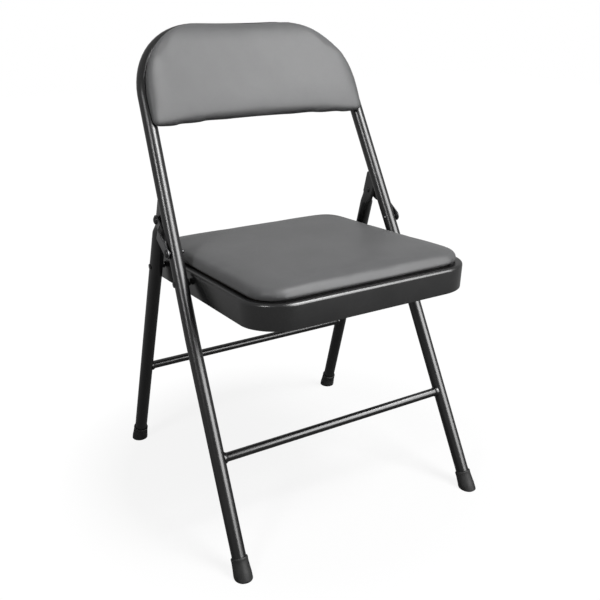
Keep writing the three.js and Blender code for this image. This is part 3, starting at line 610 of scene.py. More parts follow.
def times(tree, one, two):
    """One value times another."""
    return calc(tree, "MULTIPLY", one, two)


def remap(tree, value, low, high, to_low=0, to_high=1):
    """Spreads a range of a value over another range."""
    inputs = {"Value": value, "From Min": low, "From Max": high, "To Min": to_low, "To Max": to_high}
    return add_node(tree, "MapRange", inputs).outputs["Result"]


def powder_coat_group():
    """Orange peel, faint handling marks and settled dust of a sprayed coat."""
    scales = {"Peel Scale": 420, "Mark Scale": 24}
    tree, start, end = new_group("Sprayed Coat", scales, ("Height", "Marks", "Dust"))
    vector, peel_scale, mark_scale = (start.outputs[name] for name in ("Vector", "Peel Scale", "Mark Scale"))
    peel = noise(tree, vector, peel_scale, 2, 0.4)
    fine = noise(tree, vector, times(tree, peel_scale, 3.5), 1)
    marks = noise(tree, vector, mark_scale, 5, 0.62)
    specks = remap(tree, noise(tree, vector, times(tree, peel_scale, 2.4), 0), 0.70, 0.76)
    cloud = remap(tree, noise(tree, vector, 9, 3), 0.45, 0.65)
    tree.links.new(calc(tree, "ADD", peel, times(tree, fine, 0.25)), end.inputs["Height"])
    tree.links.new(remap(tree, marks, 0.42, 0.68), end.inputs["Marks"])
    tree.links.new(times(tree, specks, cloud), end.inputs["Dust"])
    return tree


def grain_group():
    """The pressed grain of a coated cloth: small rounded cells, soft creases and a drifting tone."""
    tree, start, end = new_group("Pressed Grain", {"Grain Scale": 620}, ("Height", "Valleys", "Tone"))
    vector, grain_scale = start.outputs["Vector"], start.outputs["Grain Scale"]
    wander = add_node(tree, "TexNoise", {"Vector": vector, "Scale": 160}).outputs["Color"]
    strayed = add_node(tree, "Mix", {"Factor": 0.004, 4: vector, 5: wander}, data_type="VECTOR").outputs[1]
    cells = {"Vector": strayed, "Scale": grain_scale}
    edges = add_node(tree, "TexVoronoi", cells, feature="DISTANCE_TO_EDGE").outputs["Distance"]
    soft = noise(tree, vector, times(tree, grain_scale, 0.35), 3)
    height = calc(tree, "ADD", remap(tree, edges, 0, 0.28), times(tree, soft, 0.8))
    tree.links.new(height, end.inputs["Height"])
    # The Valleys mask makes the grain rougher there and darkens the cover's colour as painted shade.
    tree.links.new(remap(tree, edges, 0, 0.09, 1, 0), end.inputs["Valleys"])
    tree.links.new(remap(tree, noise(tree, vector, 11, 4, 0.6), 0.35, 0.65), end.inputs["Tone"])
    return tree


def blend_colours(tree, share, one, two):
    """One colour into another by a share."""
    return add_node(tree, "Mix", {"Factor": share, 6: one, 7: two}, data_type="RGBA").outputs[2]


def new_material(name, group, specular, metal=0.0):
    """A material with a group on Object coordinates; gives the material and the group's node."""
    material = bpy.data.materials.new(name)
    material.use_nodes = True
    tree = material.node_tree
    shader = tree.nodes["Principled BSDF"]
    shader.inputs["Metallic"].default_value = metal
    shader.inputs["Specular IOR Level"].default_value = specular
    where = tree.nodes.new("ShaderNodeTexCoord")
    node = tree.nodes.new("ShaderNodeGroup")
    node.node_tree = group
    tree.links.new(where.outputs["Object"], node.inputs["Vector"])
    return material, node


def surface(material, node, tone, mask, roughness, strength, distance):
    """Feeds a shader its colour, its roughness at both ends of a mask, and a bump from the group's height."""
    tree = material.node_tree
    shader = tree.nodes["Principled BSDF"]
    bump = {"Height": node.outputs["Height"], "Strength": strength, "Distance": distance}
    tree.links.new(tone, shader.inputs["Base Color"])
    tree.links.new(remap(tree, node.outputs[mask], 0, 1, *roughness), shader.inputs["Roughness"])
    tree.links.new(add_node(tree, "Bump", bump).outputs["Normal"], shader.inputs["Normal"])
    return material


def rgba(value, lighten=1.0):
    """A colour with full alpha, lightened by a factor."""
    return (*(min(channel * lighten, 1) for channel in value), 1)


class Finishes:
    """Every material of the chair, made once."""

    made = {}

    @classmethod
    def get(cls, name):
        """The named material."""
        if not cls.made:
            cls.make()
        return cls.made[name]

    @classmethod
    def make(cls):
        """Builds the groups and the materials from the finish settings."""
        look = bpy.context.scene.chair_finish
        coat, grain = powder_coat_group(), grain_group()
        cls.made["frame"] = sprayed_steel("black_powder_coat", coat, look.steel, look.steel_roughness, 0.0)
        cls.made["fasteners"] = sprayed_steel("blackened_fasteners", coat, look.fastener, 0.36, 0.55)
        cls.made["cover"] = grained_vinyl("grey_vinyl", grain, look.vinyl, look.vinyl_roughness)
        cls.made["link"] = sprayed_steel("satin_links", coat, look.link, 0.33, 0.35)
        cls.made["rubber"] = moulded_rubber("black_rubber", coat, look.rubber)
        cls.made["board"] = board_in_painted_shade("hardboard", grain, look.board)


def sprayed_steel(name, group, base, roughness, metal):
    """Black coat with a little orange peel and a trace of dust."""
    material, node = new_material(name, group, 0.75, metal)
    tree = material.node_tree
    tone = blend_colours(tree, node.outputs["Marks"], rgba(base), rgba(base, 1.25))
    dusty = blend_colours(tree, times(tree, node.outputs["Dust"], 0.05), tone, DUST)
    return surface(material, node, dusty, "Marks", (roughness - 0.01, roughness + 0.03), 0.004, 0.0001)


def grained_vinyl(name, group, base, roughness):
    """Soft coated cloth with a fine pressed grain, with painted shade darkening its valleys."""
    material, node = new_material(name, group, 0.24)
    tree = material.node_tree
    shader = tree.nodes["Principled BSDF"]
    shader.inputs["Sheen Weight"].default_value = 0.05
    shader.inputs["Sheen Roughness"].default_value = 0.45
    tone = blend_colours(tree, node.outputs["Tone"], rgba(base, 0.94), rgba(base, 1.05))
    # Painted shade: the colour darkens towards 72% of the cover's tone in the valleys of the grain.
    valley_shade = blend_colours(tree, times(tree, node.outputs["Valleys"], 0.35), tone, rgba(base, 0.72))
    return surface(material, node, valley_shade, "Valleys", (roughness, roughness + 0.12), 0.13, 0.00035)


def moulded_rubber(name, group, base):
    """Matte rubber with a faint mottle."""
    material, node = new_material(name, group, 0.35)
    tree = material.node_tree
    node.inputs["Peel Scale"].default_value = 700
    node.inputs["Mark Scale"].default_value = 70
    tone = blend_colours(tree, times(tree, node.outputs["Marks"], 0.5), rgba(base), rgba(base, 2.6))
    return surface(material, node, tone, "Marks", (0.55, 0.75), 0.35, 0.0004)


def board_in_painted_shade(name, group, base):
    """Hardboard with a fibrous grain, coloured near-black as painted shade so that the gap round the seat pad
    reads as shadow.
    """
    material, node = new_material(name, group, 0.5)
    tree = material.node_tree
    node.inputs["Grain Scale"].default_value = 260
    tone = blend_colours(tree, node.outputs["Tone"], rgba(base, 0.8), rgba(base, 1.25))
    return surface(material, node, tone, "Valleys", (0.75, 0.9), 0.4, 0.0006)


# ---------------------------------------------------------------- steel pieces

class ChairFrontFrame(bpy.types.Operator):
    """The tube bent into an inverted U: both front legs and the arch of the back"""

    bl_idname = "chair.front_frame"
    bl_label = "Front Frame Tube"

    def execute(self, context):
        sizes = context.scene.chair_frame
        along = sizes.reach - sizes.arch
        centre = arch_half_width(sizes) - sizes.arch
        right = [frame_point(sizes, frame_half_width(sizes, sizes.tube_start), sizes.tube_start)]
        knees = [sizes.knee + step for step in KNEE_STEPS]
        right += [frame_point(sizes, frame_half_width(sizes, knee), knee) for knee in knees]
        for i in range(ARCH_STEPS + 1):
            swing = math.pi / 2 * i / ARCH_STEPS
            x = centre + sizes.arch * math.cos(swing)
            right.append(frame_point(sizes, x, along + sizes.arch * math.sin(swing), bow_at(sizes, x)))
        for share in (0.75, 0.5, 0.25):
            x = centre * share
            right.append(frame_point(sizes, x, sizes.reach, bow_at(sizes, x)))
        top = [frame_point(sizes, 0, sizes.reach, bow_at(sizes, 0))]
        left = [Vector((-point.x, point.y, point.z)) for point in reversed(right)]
        tube = swept_tube("front_frame", right + top + left, sizes.tube / 2, 44)
        settle(tube)
        finish_piece(tube, "front_frame", "frame", "front_frame_tube")
        return {"FINISHED"}


class ChairCrossbars(bpy.types.Operator):
    """The two crossbars, each with a small weld where it meets a leg"""

    bl_idname = "chair.crossbars"
    bl_label = "Crossbars"

    def execute(self, context):
        sizes = context.scene.chair_frame
        along = sizes.front_bar_z / math.cos(sizes.lean)
        front = frame_point(sizes, frame_half_width(sizes, along), along)
        axis = rear_axis(sizes, 1)
        rear = rear_foot(sizes, 1) + axis * (sizes.rear_bar_z / axis.z)
        for name, end, body in (("front", front, "front_frame"), ("rear", rear, "rear_legs")):
            reach = end.x - sizes.tube / 2 + BAR_SINK
            flare = [(sizes.bar / 2 + out, z) for out, z in WELD]
            profile = [(r, z - reach) for r, z in flare] + [(r, reach - z) for r, z in reversed(flare)]
            bar = turned_piece(f"{name}_bar", [(0, -reach)] + profile + [(0, reach)], 32)
            middle = Vector((0, end.y, end.z))
            settle(bar, Matrix.Translation(middle) @ Matrix.Rotation(math.pi / 2, 4, "Y"))
            finish_piece(bar, body, "frame", f"{name}_crossbar")
        return {"FINISHED"}


class ChairRearLegs(bpy.types.Operator):
    """The two rear legs: round tube pressed flat at the top, where the links are riveted on"""

    bl_idname = "chair.rear_legs"
    bl_label = "Rear Legs"

    def execute(self, context):
        sizes = context.scene.chair_frame
        for side_name, side in SIDES:
            place = rear_matrix(sizes, side)
            leg = pressed_leg(f"back_leg_{side_name}", sizes)
            trim_tab(leg, sizes, place)
            settle(leg, place)
            ease_edges(leg, 0.0007, 50)
            finish_piece(leg, "rear_legs", "frame", f"rear_leg_{side_name}")
        return {"FINISHED"}


def pressed_leg(name, sizes):
    """An upright tube whose upper end is squeezed in X and spread in Y."""
    radius = sizes.tube / 2
    obj = ring(name, radius, 48)
    bpy.ops.mesh.edge_face_add()
    shift(z=sizes.tube_start)
    thin = sizes.tab_thickness / 2 / radius
    wide = sizes.tab_width / 2 / radius
    height, flat = sizes.tube_start, 0.0
    blend = [(TAB_START - TAB_BLEND * (1 - share), share * share * (3 - 2 * share)) for share in TAB_SHARES]
    for next_height, next_flat in [(TAB_START - TAB_BLEND, 0.0), *blend, (TAB_END, 1.0)]:
        draw_out((0, 0, next_height - height))
        squeeze = (1 + (thin - 1) * next_flat) / (1 + (thin - 1) * flat)
        spread = (1 + (wide - 1) * next_flat) / (1 + (wide - 1) * flat)
        scale((squeeze, spread, 1), (0, 0, next_height))
        height, flat = next_height, next_flat
    for z in (TAB_START, TAB_END):
        for face in (-1, 1):
            choose(obj, "VERT", lambda co, z=z, face=face: (
                abs(co.z - z) < CLOSE and co.x * face > 0.0005 and abs(co.y) < sizes.tab_width * TAB_FLAT))
            scale((0, 1, 1), (face * sizes.tab_thickness / 2, 0, z))
    close_solid()
    return obj


def trim_tab(obj, sizes, place):
    """Cuts the flattened end parallel to the front leg and rounds its tip, in the leg's own layout."""
    back = place.inverted()
    spread = back.to_3x3()
    foot = frame_point(sizes, 0, 0)
    behind, along = frame_point(sizes, 0, 0, 1) - foot, frame_point(sizes, 0, 1) - foot
    tip = back @ frame_point(sizes, place.translation.x, TAB_TIP, sizes.tube / 2 + TAB_GAP)
    editing(obj)
    for degrees, depth in TAB_CUTS:
        lean = math.radians(degrees)
        normal = spread @ (-behind * math.cos(lean) + along * math.sin(lean))
        cut(tip - normal * depth, normal, use_fill=True, clear_outer=True)
    close_solid()


class ChairTips(bpy.types.Operator):
    """The four rubber tips, cut flat where they stand"""

    bl_idname = "chair.tips"
    bl_label = "Rubber Tips"

    def execute(self, context):
        sizes = context.scene.chair_frame
        for side_name, side in SIDES:
            foot = frame_point(sizes, side * sizes.foot_x, 0)
            upward = frame_point(sizes, side * frame_half_width(sizes, 0.1), 0.1) - foot
            tips = (
                ("front", foot, upward, "front_frame"),
                ("rear", rear_foot(sizes, side), rear_axis(sizes, side), "rear_legs"),
            )
            for end, point, axis, body in tips:
                tip = turned_piece(f"{end}_cap_{side_name}", tip_profile(sizes), 40)
                settle(tip, standing(point, axis.normalized()))
                editing(tip)
                cut((0, 0, 0), (0, 0, -1), use_fill=True, clear_outer=True)
                close_solid()
                ease_edges(tip, 0.0006, 48)
                finish_piece(tip, body, "rubber", f"{end}_tip_{side_name}")
        return {"FINISHED"}


def tip_profile(sizes):
    """Outside of a tip from its sole to its rim, then the inside down to the end of the tube."""
    bore = sizes.tube / 2 + 0.0001
    return [*TIP_OUTSIDE, (bore, 0.0296), (bore, TIP_FLOOR), (0, TIP_FLOOR)]


class ChairSeatPan(bpy.types.Operator):
    """The pressed pan: rounded shoulder, drawn-in skirt with a turned lower edge, and a recess for the pad"""

    bl_idname = "chair.seat_pan"
    bl_label = "Seat Pan"

    def execute(self, context):
        seat = context.scene.chair_seat
        half, middle = seat.width / 2, (0, seat.depth / 2, -seat.skirt)
        low_half, low_depth = half - seat.tuck, seat.depth - 2 * seat.tuck
        pan = rounded_plate("pan", half, 0, seat.depth, seat.front_radius, seat.rear_radius, 16)
        bpy.ops.mesh.select_all(action="SELECT")
        draw_out((0, 0, -seat.skirt))
        scale((low_half / half, 1 - 2 * seat.tuck / seat.depth, 1), middle)
        bpy.ops.mesh.delete(type="ONLY_FACE")
        choose(pan, "EDGE", at_height(-seat.skirt))
        draw_out((0, 0, 0))
        scale(((low_half - seat.hem) / low_half, 1 - 2 * seat.hem / low_depth, 1), middle)
        choose(pan, "EDGE", at_height(0))
        round_off(seat.shoulder, 6)
        choose(pan, "FACE", lambda centre, normal: abs(normal.z) > 0.9999 and centre.z > -1e-4)
        self.press_recess(seat)
        close_solid()
        apply_modifier(pan, "SOLIDIFY", thickness=seat.sheet, offset=-1, use_even_offset=True)
        settle(pan, seat_matrix(seat), 32)
        finish_piece(pan, "seat", "frame", "seat_pan")
        return {"FINISHED"}

    @staticmethod
    def press_recess(seat):
        """Insets the top and sinks its middle over a soft edge; the shell still faces inward here."""
        soft = RECESS_EDGE
        inset_steps(
            (seat.rim - seat.shoulder - soft, 0),
            (soft * 0.6, soft * 0.15),
            (soft * 0.3, soft * 0.35),
            (soft * 0.3, seat.recess * 0.8 - soft * 0.5),
            (soft * 0.6, seat.recess * 0.2),
        )


class ChairBackPanel(bpy.types.Operator):
    """The curved steel panel behind the back pad, its border rolled"""

    bl_idname = "chair.back_panel"
    bl_label = "Back Panel"

    def execute(self, context):
        sizes, pads = context.scene.chair_frame, context.scene.chair_pads
        panel = back_layout("panel", sizes, pads, PANEL_INSET, -sizes.tube / 2 - PANEL_BEHIND)
        editing(panel)
        inset_steps(*PANEL_BORDER)
        half = arch_half_width(sizes)
        for i in range(1, PANEL_STRIPS):
            cut((half * (2 * i / PANEL_STRIPS - 1), 0, 0), (1, 0, 0))
        close_solid()
        apply_modifier(panel, "SOLIDIFY", thickness=PANEL_SHEET, offset=-1)
        curve_back(panel, sizes)
        settle(panel, back_matrix(sizes), 32)
        finish_piece(panel, "front_frame", "frame", "back_panel")
        return {"FINISHED"}


def back_layout(name, sizes, pads, inset, behind):
    """The flat outline of the back in X and Z, facing the sitter, its lower edge arched."""
    edge = inset - pads.back_over
    low = pads.back_low + inset
    high = sizes.reach - edge
    half = arch_half_width(sizes) - edge
    corner = max(pads.back_corner - inset, 0.004)
    obj = rounded_plate(name, half, low, high, corner, sizes.arch - edge, 16)

    def at_foot(co):
        return abs(co.y - low) < CLOSE

    choose(obj, "EDGE", at_foot)
    bpy.ops.mesh.subdivide(number_cuts=15)
    close_edit()
    reach = half - corner
    places = sorted({round(abs(vertex.co.x), 5) for vertex in obj.data.vertices if at_foot(vertex.co)})
    bpy.ops.object.mode_set(mode="EDIT")
    for x in places:
        choose(obj, "VERT", lambda co, x=x: at_foot(co) and abs(abs(co.x) - x) < 2 * CLOSE)
        shift(y=pads.back_rise * (1 - (x / reach) ** 2))
    spread = math.tan(sizes.toe_high) * (sizes.reach - sizes.arch - low - corner)
    for side in (-1, 1):
        choose(obj, "VERT", lambda co, side=side: co.y < low + corner + CLOSE and co.x * side > reach - 1e-4)
        shift(x=side * spread)
    bpy.ops.mesh.select_all(action="SELECT")
    turn(Quaternion((1, 0, 0), math.pi / 2), (0, 0, 0))
    shift(y=behind)
    close_edit()
    return obj


class ChairSideLinks(bpy.types.Operator):
    """The two flat links that tie the rear legs to the front frame"""

    bl_idname = "chair.side_links"
    bl_label = "Side Links"

    def execute(self, context):
        low, high = (box_middle(f"link_{end}_right") for end in ("washer", "spacer"))
        along = Vector((0, *high.yz)) - Vector((0, *low.yz))
        reach = along.length
        along.normalize()
        inner_low, inner_high = (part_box(f"link_{end}_right")[1][0] + FIT for end in ("washer", "spacer"))
        node_low, node_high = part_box("side_link_right")
        outer_low = node_high[0]
        half = (node_high[2] - node_low[2] - (high - low).z) / 2
        for side_name, side in SIDES:
            link = rounded_plate(f"link_bar_{side_name}", half, -half, reach + half, half, half, 14)
            draw_face(link, outer_low - inner_low)
            self.bend_inward(link, -side * (inner_low - inner_high))
            outward = Vector((1, 0, 0))
            start = Vector((inner_low if side > 0 else -outer_low, low.y, low.z))
            settle(link, placed_axes(start, along.cross(outward), along, outward))
            ease_edges(link, 0.0006, 40, 3)
            finish_piece(link, f"link_{side_name}", "link", f"side_link_{side_name}")
        return {"FINISHED"}

    @staticmethod
    def bend_inward(link, step):
        """Two soft bends past the tube bring the upper end closer to the rear leg."""
        editing(link)
        for y in (JOG_START, JOG_END):
            cut((0, y, 0), (0, 1, 0))
        choose(link, "VERT", lambda co: co.y > JOG_END - CLOSE)
        shift(z=step)
        for y in (JOG_START, JOG_END):
            choose(link, "EDGE", lambda co, y=y: abs(co.y - y) < CLOSE)
            round_off(JOG_BEND, 4)
        close_edit()


def draw_face(obj, thickness):
    """Gives a flat face in X and Y a thickness along Z."""
    editing(obj)
    draw_out((0, 0, thickness))
    close_solid()


def box_middle(node):
    """Middle of a node's box."""
    low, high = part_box(node)
    return (Vector(low) + Vector(high)) / 2


def along_x(node, side):
    """Layout, length and radius of a node turned about X; the layout's Z runs inward from its outer face."""
    low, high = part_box(node)
    outer, middle = high[0] if side > 0 else low[0], box_middle(node)
    matrix = standing(Vector((outer, middle.y, middle.z)), Vector((-side, 0, 0)))
    return matrix, high[0] - low[0], (high[2] - low[2]) / 2


def domed_head(radius):
    """Height and profile of a rivet's head, from the small flat where the tool pressed it to its seat."""
    height = LINK_HEAD if radius > BROAD_HEAD else LEG_HEAD
    return height, [(0, 0)] + [(radius * share, height * (1 - rise)) for share, rise in DOME]


def rivet_profile(reach, radius):
    """A domed head outside and a shank that ends in a pressed tail."""
    height, head = domed_head(radius)
    tail = [(RIVET_SHANK, reach - RIVET_TAIL), (RIVET_SHANK * 0.8, reach), (0, reach)]
    return [*head, (RIVET_SHANK, height), *tail]


def stub_profile(reach, radius):
    """The inner half of the upper rivet, its head toward the middle of the chair."""
    height, head = domed_head(radius)
    shank = [(0, 0), (RIVET_SHANK - RIVET_EASE, 0), (RIVET_SHANK, RIVET_EASE), (RIVET_SHANK, reach - height)]
    return shank + [(out, reach - depth) for out, depth in reversed(head)]


def ring_profile(reach, radius):
    """A washer or a spacer with eased edges."""
    bore, ease = RIVET_SHANK + FIT, min(reach * 0.3, RING_EASE)
    outside = [(radius - ease, 0), (radius, ease), (radius, reach - ease), (radius - ease, reach)]
    return [(bore, 0), *outside, (bore, reach), (bore, 0)]


class ChairFasteners(bpy.types.Operator):
    """The rivets, washers, spacers and screws"""

    bl_idname = "chair.fasteners"
    bl_label = "Fasteners"

    def execute(self, context):
        for side_name, side in SIDES:
            link = f"link_{side_name}"
            rows = (
                ("seat_rivet", "front_frame", rivet_profile),
                ("leg_rivet", "rear_legs", rivet_profile),
                ("link_lower_rivet", "front_frame", rivet_profile),
                ("link_upper_rivet", link, rivet_profile),
                ("link_upper_stub", "rear_legs", stub_profile),
                ("link_washer", "front_frame", ring_profile),
                ("seat_washer", "seat", ring_profile),
                ("leg_washer", "seat", ring_profile),
                ("link_spacer", link, ring_profile),
            )
            for name, body, profile in rows:
                node = f"{name}_{side_name}"
                matrix, reach, radius = along_x(node, side)
                piece = turned_piece(f"{name}_steel_{side_name}", profile(reach, radius), 36)
                settle(piece, matrix, 40)
                finish = "frame" if name == "link_spacer" else "fasteners"
                finish_piece(piece, body, finish, node)
        self.add_screws(context.scene.chair_frame, context.scene.chair_seat)
        return {"FINISHED"}

    @staticmethod
    def add_screws(sizes, seat):
        """Pan-head screws: four under the seat and four behind the back."""
        seat_up = seat_matrix(seat).to_3x3() @ Vector((0, 0, 1))
        back_front = frame_point(sizes, 0, 0, -1) - frame_point(sizes, 0, 0)
        rows = [(f"seat_screw_{i}", "seat", seat_up) for i in (1, 2, 3, 4)]
        rows += [(f"back_screw_{side}_{i}", "front_frame", back_front) for side, _ in SIDES for i in (1, 2)]
        for node, body, axis in rows:
            axis = axis.normalized()
            middle, reach, radius = span_along(node, axis)
            piece = screw(f"{node}_steel", radius, reach)
            settle(piece, standing(middle, axis), 40)
            finish_piece(piece, body, "fasteners", node)


def span_along(node, axis):
    """Middle, length and half width of a node along its own axis."""
    points = [vertex.co.copy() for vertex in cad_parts[node].data.vertices]
    heights = [point.dot(axis) for point in points]
    low, high = min(heights), max(heights)
    ends = [point for point, height in zip(points, heights) if height < low + 1e-4]
    middle = sum(ends, Vector()) / len(ends)
    middle += axis * ((low + high) / 2 - middle.dot(axis))
    radius = max((point - middle - axis * (point - middle).dot(axis)).length for point in points)
    return middle, high - low, radius


def screw(name, radius, reach):
    """A screw along Z about its middle, head down, with an oval recess in the head."""
    low, high = -reach / 2, reach / 2
    neck = low + SCREW_HEAD
    head = [(radius * share, low + SCREW_HEAD * rise) for share, rise in SCREW_DOME]
    shank = [(SCREW_SHANK, neck), (SCREW_SHANK, high - SCREW_POINT), (SCREW_SHANK - SCREW_POINT, high)]
    obj = turned_piece(name, [(0, low), *head, *shank, (0, high)], 32)
    editing(obj)
    choose(obj, "FACE", lambda centre, normal: normal.z < -0.99 and centre.z < low + CLOSE)
    inset_steps((radius * 0.12, 0), (radius * 0.12, -SCREW_RECESS))
    choose(obj, "VERT", at_height(low + SCREW_RECESS))
    scale((1.25, 0.8, 1), (0, 0, low + SCREW_RECESS))
    close_solid()
    return obj


# ---------------------------------------------------------------- padded pieces

def remesh(obj, voxel):
    """An even grid all over a closed form."""
    apply_modifier(obj, "REMESH", mode="VOXEL", voxel_size=voxel, use_smooth_shade=True)


def inflate(obj, pads):
    """Blows a closed form up with the cloth solver; its foot stays where it is."""
    start = [vertex.co.copy() for vertex in obj.data.vertices]
    pick(obj)
    cloth = obj.modifiers.new("Cloth", "CLOTH")
    cloth.settings.use_pressure = True
    cloth.settings.uniform_pressure_force = pads.pressure
    cloth.settings.effector_weights.gravity = 0
    cloth.settings.quality = 5
    cloth.point_cache.frame_start = 1
    cloth.point_cache.frame_end = pads.frames
    for moment in range(1, pads.frames + 1):
        bpy.context.scene.frame_set(moment)
    bpy.ops.object.modifier_apply(modifier=cloth.name)
    bpy.context.scene.frame_set(1)
    for vertex, origin in zip(obj.data.vertices, start):
        moved = vertex.co - origin
        moved *= pads.swell / (pads.swell + moved.length)
        vertex.co = origin + moved * clamp(origin.z / PAD_FREE)
    obj.data.update()
    iron(obj)


def iron(obj):
    """Smooths a blown-up form; its foot stays flat."""
    heights = [vertex.co.z for vertex in obj.data.vertices]
    apply_modifier(obj, "SMOOTH", factor=0.5, iterations=10)
    for vertex, height in zip(obj.data.vertices, heights):
        vertex.co.z = height + (vertex.co.z - height) * clamp(height / PAD_FOOT)
    obj.data.update()
    apply_modifier(obj, "SMOOTH", factor=0.5, iterations=36, use_z=False)


def crown(obj, half, low, high, edge, height, fall, roll):
    """Raises the middle of a block, which drops to its border over fall; roll is the low end's own fall."""
    for vertex in obj.data.vertices:
        rise = height * clamp(vertex.co.z / edge)
        beside, before, past = half - abs(vertex.co.x), high - vertex.co.y, vertex.co.y - low
        for inside, width, power in ((beside, fall, 0.5), (before, fall, 0.5), (past, *roll)):
            share = clamp(inside / width)
            rise *= (share * (2 - share)) ** power
        vertex.co.z += rise
    obj.data.update()


def stretch(obj, half, low, high, thickness):
    """Brings a pad to its full size."""
    corners = [Vector(corner) for corner in obj.bound_box]
    start, end = corners[0], corners[6]
    editing(obj)
    shift(y=low - start.y, z=-start.z)
    factors = (2 * half / (end.x - start.x), (high - low) / (end.y - start.y), thickness / (end.z - start.z))
    scale(factors, (0, low, 0))
    close_edit()


def pad_block(obj, thickness, soft, bulge):
    """A flat outline in X and Y becomes a block with full sides and a rounded upper edge."""
    low, high = (Vector(corner) for corner in (obj.bound_box[0], obj.bound_box[6]))
    wide, middle = high - low, (low + high) / 2
    editing(obj)
    draw_out((0, 0, thickness * 0.25))
    scale((1 + 2 * bulge / wide.x, 1 + 2 * bulge / wide.y, 1), (middle.x, middle.y, 0))
    draw_out((0, 0, thickness * 0.75))
    make_solid()
    choose(obj, "EDGE", at_height(thickness))
    round_off(soft, 6)
    choose(obj, "EDGE", at_height(0))
    round_off(soft * 0.2, 2)
    close_edit()


class ChairSeatPad(bpy.types.Operator):
    """The seat cushion: a crowned foam pad in grained vinyl, flat where it rests on its board"""

    bl_idname = "chair.seat_pad"
    bl_label = "Seat Pad"

    def execute(self, context):
        seat, pads = context.scene.chair_seat, context.scene.chair_pads
        inset = seat.rim + pads.seat_gap + pads.slack
        extent = (seat.width / 2 - inset, inset, seat.depth - inset)
        radii = (seat.front_radius - inset, seat.rear_radius - inset)
        pad = rounded_plate("seat_cushion", *extent, *radii, 12)
        pad_block(pad, pads.seat_edge, pads.seat_soft, pads.seat_bulge)
        remesh(pad, pads.voxel)
        crown(pad, *extent, pads.seat_edge, pads.seat_crown, pads.seat_fall, (pads.seat_fall, 0.5))
        inflate(pad, pads)
        full = seat.rim - pads.seat_proud
        stretch(pad, seat.width / 2 - full, full, seat.depth - full, pads.seat_edge + pads.seat_crown)
        settle_pad(pad, seat_matrix(seat) @ Matrix.Translation((0, 0, SEAT_PAD_LIFT)))
        finish_piece(pad, "seat", "cover", "seat_pad")
        return {"FINISHED"}


def settle_pad(obj, matrix):
    """Smooths a pad by one subdivision and puts it in its place."""
    apply_modifier(obj, "SUBSURF", levels=1, render_levels=1)
    settle(obj, matrix, 80)


class ChairBackPad(bpy.types.Operator):
    """The back cushion: a thin foam pad in grained vinyl that follows the curve of the top rail"""

    bl_idname = "chair.back_pad"
    bl_label = "Back Pad"

    def execute(self, context):
        sizes, pads = context.scene.chair_frame, context.scene.chair_pads
        behind = -sizes.tube / 2 - BACK_PAD_BEHIND
        pad = back_layout("back_cushion", sizes, pads, pads.slack, 0)
        editing(pad)
        turn(Quaternion((1, 0, 0), -math.pi / 2), (0, 0, 0))
        close_edit()
        pad_block(pad, pads.back_edge, pads.back_soft, pads.back_bulge)
        remesh(pad, pads.back_voxel)
        half, low, high = arch_half_width(sizes) + pads.back_over, pads.back_low, sizes.reach + pads.back_over
        crown(pad, half, low, high, pads.back_edge, pads.back_crown, pads.back_fall, (pads.back_roll, 0.8))
        inflate(pad, pads)
        proud = pads.back_proud
        stretch(pad, half + proud, low - proud, high + proud, pads.back_edge + pads.back_crown)
        for vertex in pad.data.vertices:
            across, along, thick = vertex.co
            vertex.co = Vector((across, behind - thick + bow_at(sizes, across), along))
        pad.data.update()
        settle_pad(pad, back_matrix(sizes))
        finish_piece(pad, "front_frame", "cover", "back_pad")
        return {"FINISHED"}


# ---------------------------------------------------------------- carried pieces and the studio

class ChairCarried(bpy.types.Operator):
    """Finishes for the plain flat pieces that keep their own shape"""

    bl_idname = "chair.carried"
    bl_label = "Board And Hinge Plates"

    def execute(self, context):
        paint(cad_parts["seat_board"], "board")
        for side, _ in SIDES:
            paint(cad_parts[f"seat_hinge_plate_{side}"], "frame")
        return {"FINISHED"}


def ray_kinds(tree):
    """The light path's outputs, and the rays that reach the eye straight or through something clear."""
    rays = tree.nodes.new("ShaderNodeLightPath").outputs
    return rays, calc(tree, "MAXIMUM", rays["Is Camera Ray"], rays["Is Transmission Ray"])


def studio_floor(studio):
    """A pale floor that keeps the chair's soft shadow: lifted to white for the eye, dimmer in reflections."""
    material = bpy.data.materials.new("studio_floor")
    material.use_nodes = True
    tree = material.node_tree
    tree.nodes.clear()
    rays, seen = ray_kinds(tree)
    mirrored = rays["Is Glossy Ray"]
    where = tree.nodes.new("ShaderNodeTexCoord").outputs["Object"]
    away = add_node(tree, "VectorMath", {0: where}, operation="LENGTH").outputs["Value"]
    lift = remap(tree, away, *FLOOR_LIFT, studio.floor_lift, 1)
    image = remap(tree, away, *FLOOR_FADE, studio.floor_near, studio.floor_far)
    tone = remap(tree, rays["Is Diffuse Ray"], 0, 1, studio.floor_tone, studio.floor_bounce)
    strength = calc(tree, "ADD", times(tree, seen, studio.floor_white), times(tree, mirrored, image))
    matte = add_node(tree, "BsdfDiffuse", {"Color": tone}).outputs[0]
    glow = add_node(tree, "Emission", {"Strength": strength}).outputs[0]
    share = calc(tree, "MAXIMUM", times(tree, seen, lift), mirrored)
    mix = add_node(tree, "MixShader", {"Fac": share, 1: matte, 2: glow}).outputs[0]
    add_node(tree, "OutputMaterial", {"Surface": mix})
    return material


def studio_world(studio):
    """White for the eye; grey in reflections, darker in front of the chair than behind it."""
    world = bpy.data.worlds.new("studio")
    bpy.context.scene.world = world
    world.use_nodes = True
    tree = world.node_tree
    background = tree.nodes["Background"]
    background.inputs["Color"].default_value = (1, 1, 1, 1)
    rays, seen = ray_kinds(tree)
    where = tree.nodes.new("ShaderNodeTexCoord").outputs["Generated"]
    depth = add_node(tree, "SeparateXYZ", {0: where}).outputs["Y"]
    room = remap(tree, depth, *ROOM_FADE, studio.room, studio.backdrop)
    shown = calc(tree, "MAXIMUM", seen, times(tree, rays["Is Glossy Ray"], room))
    feed(tree, calc(tree, "MAXIMUM", shown, studio.ambient), background.inputs["Strength"])


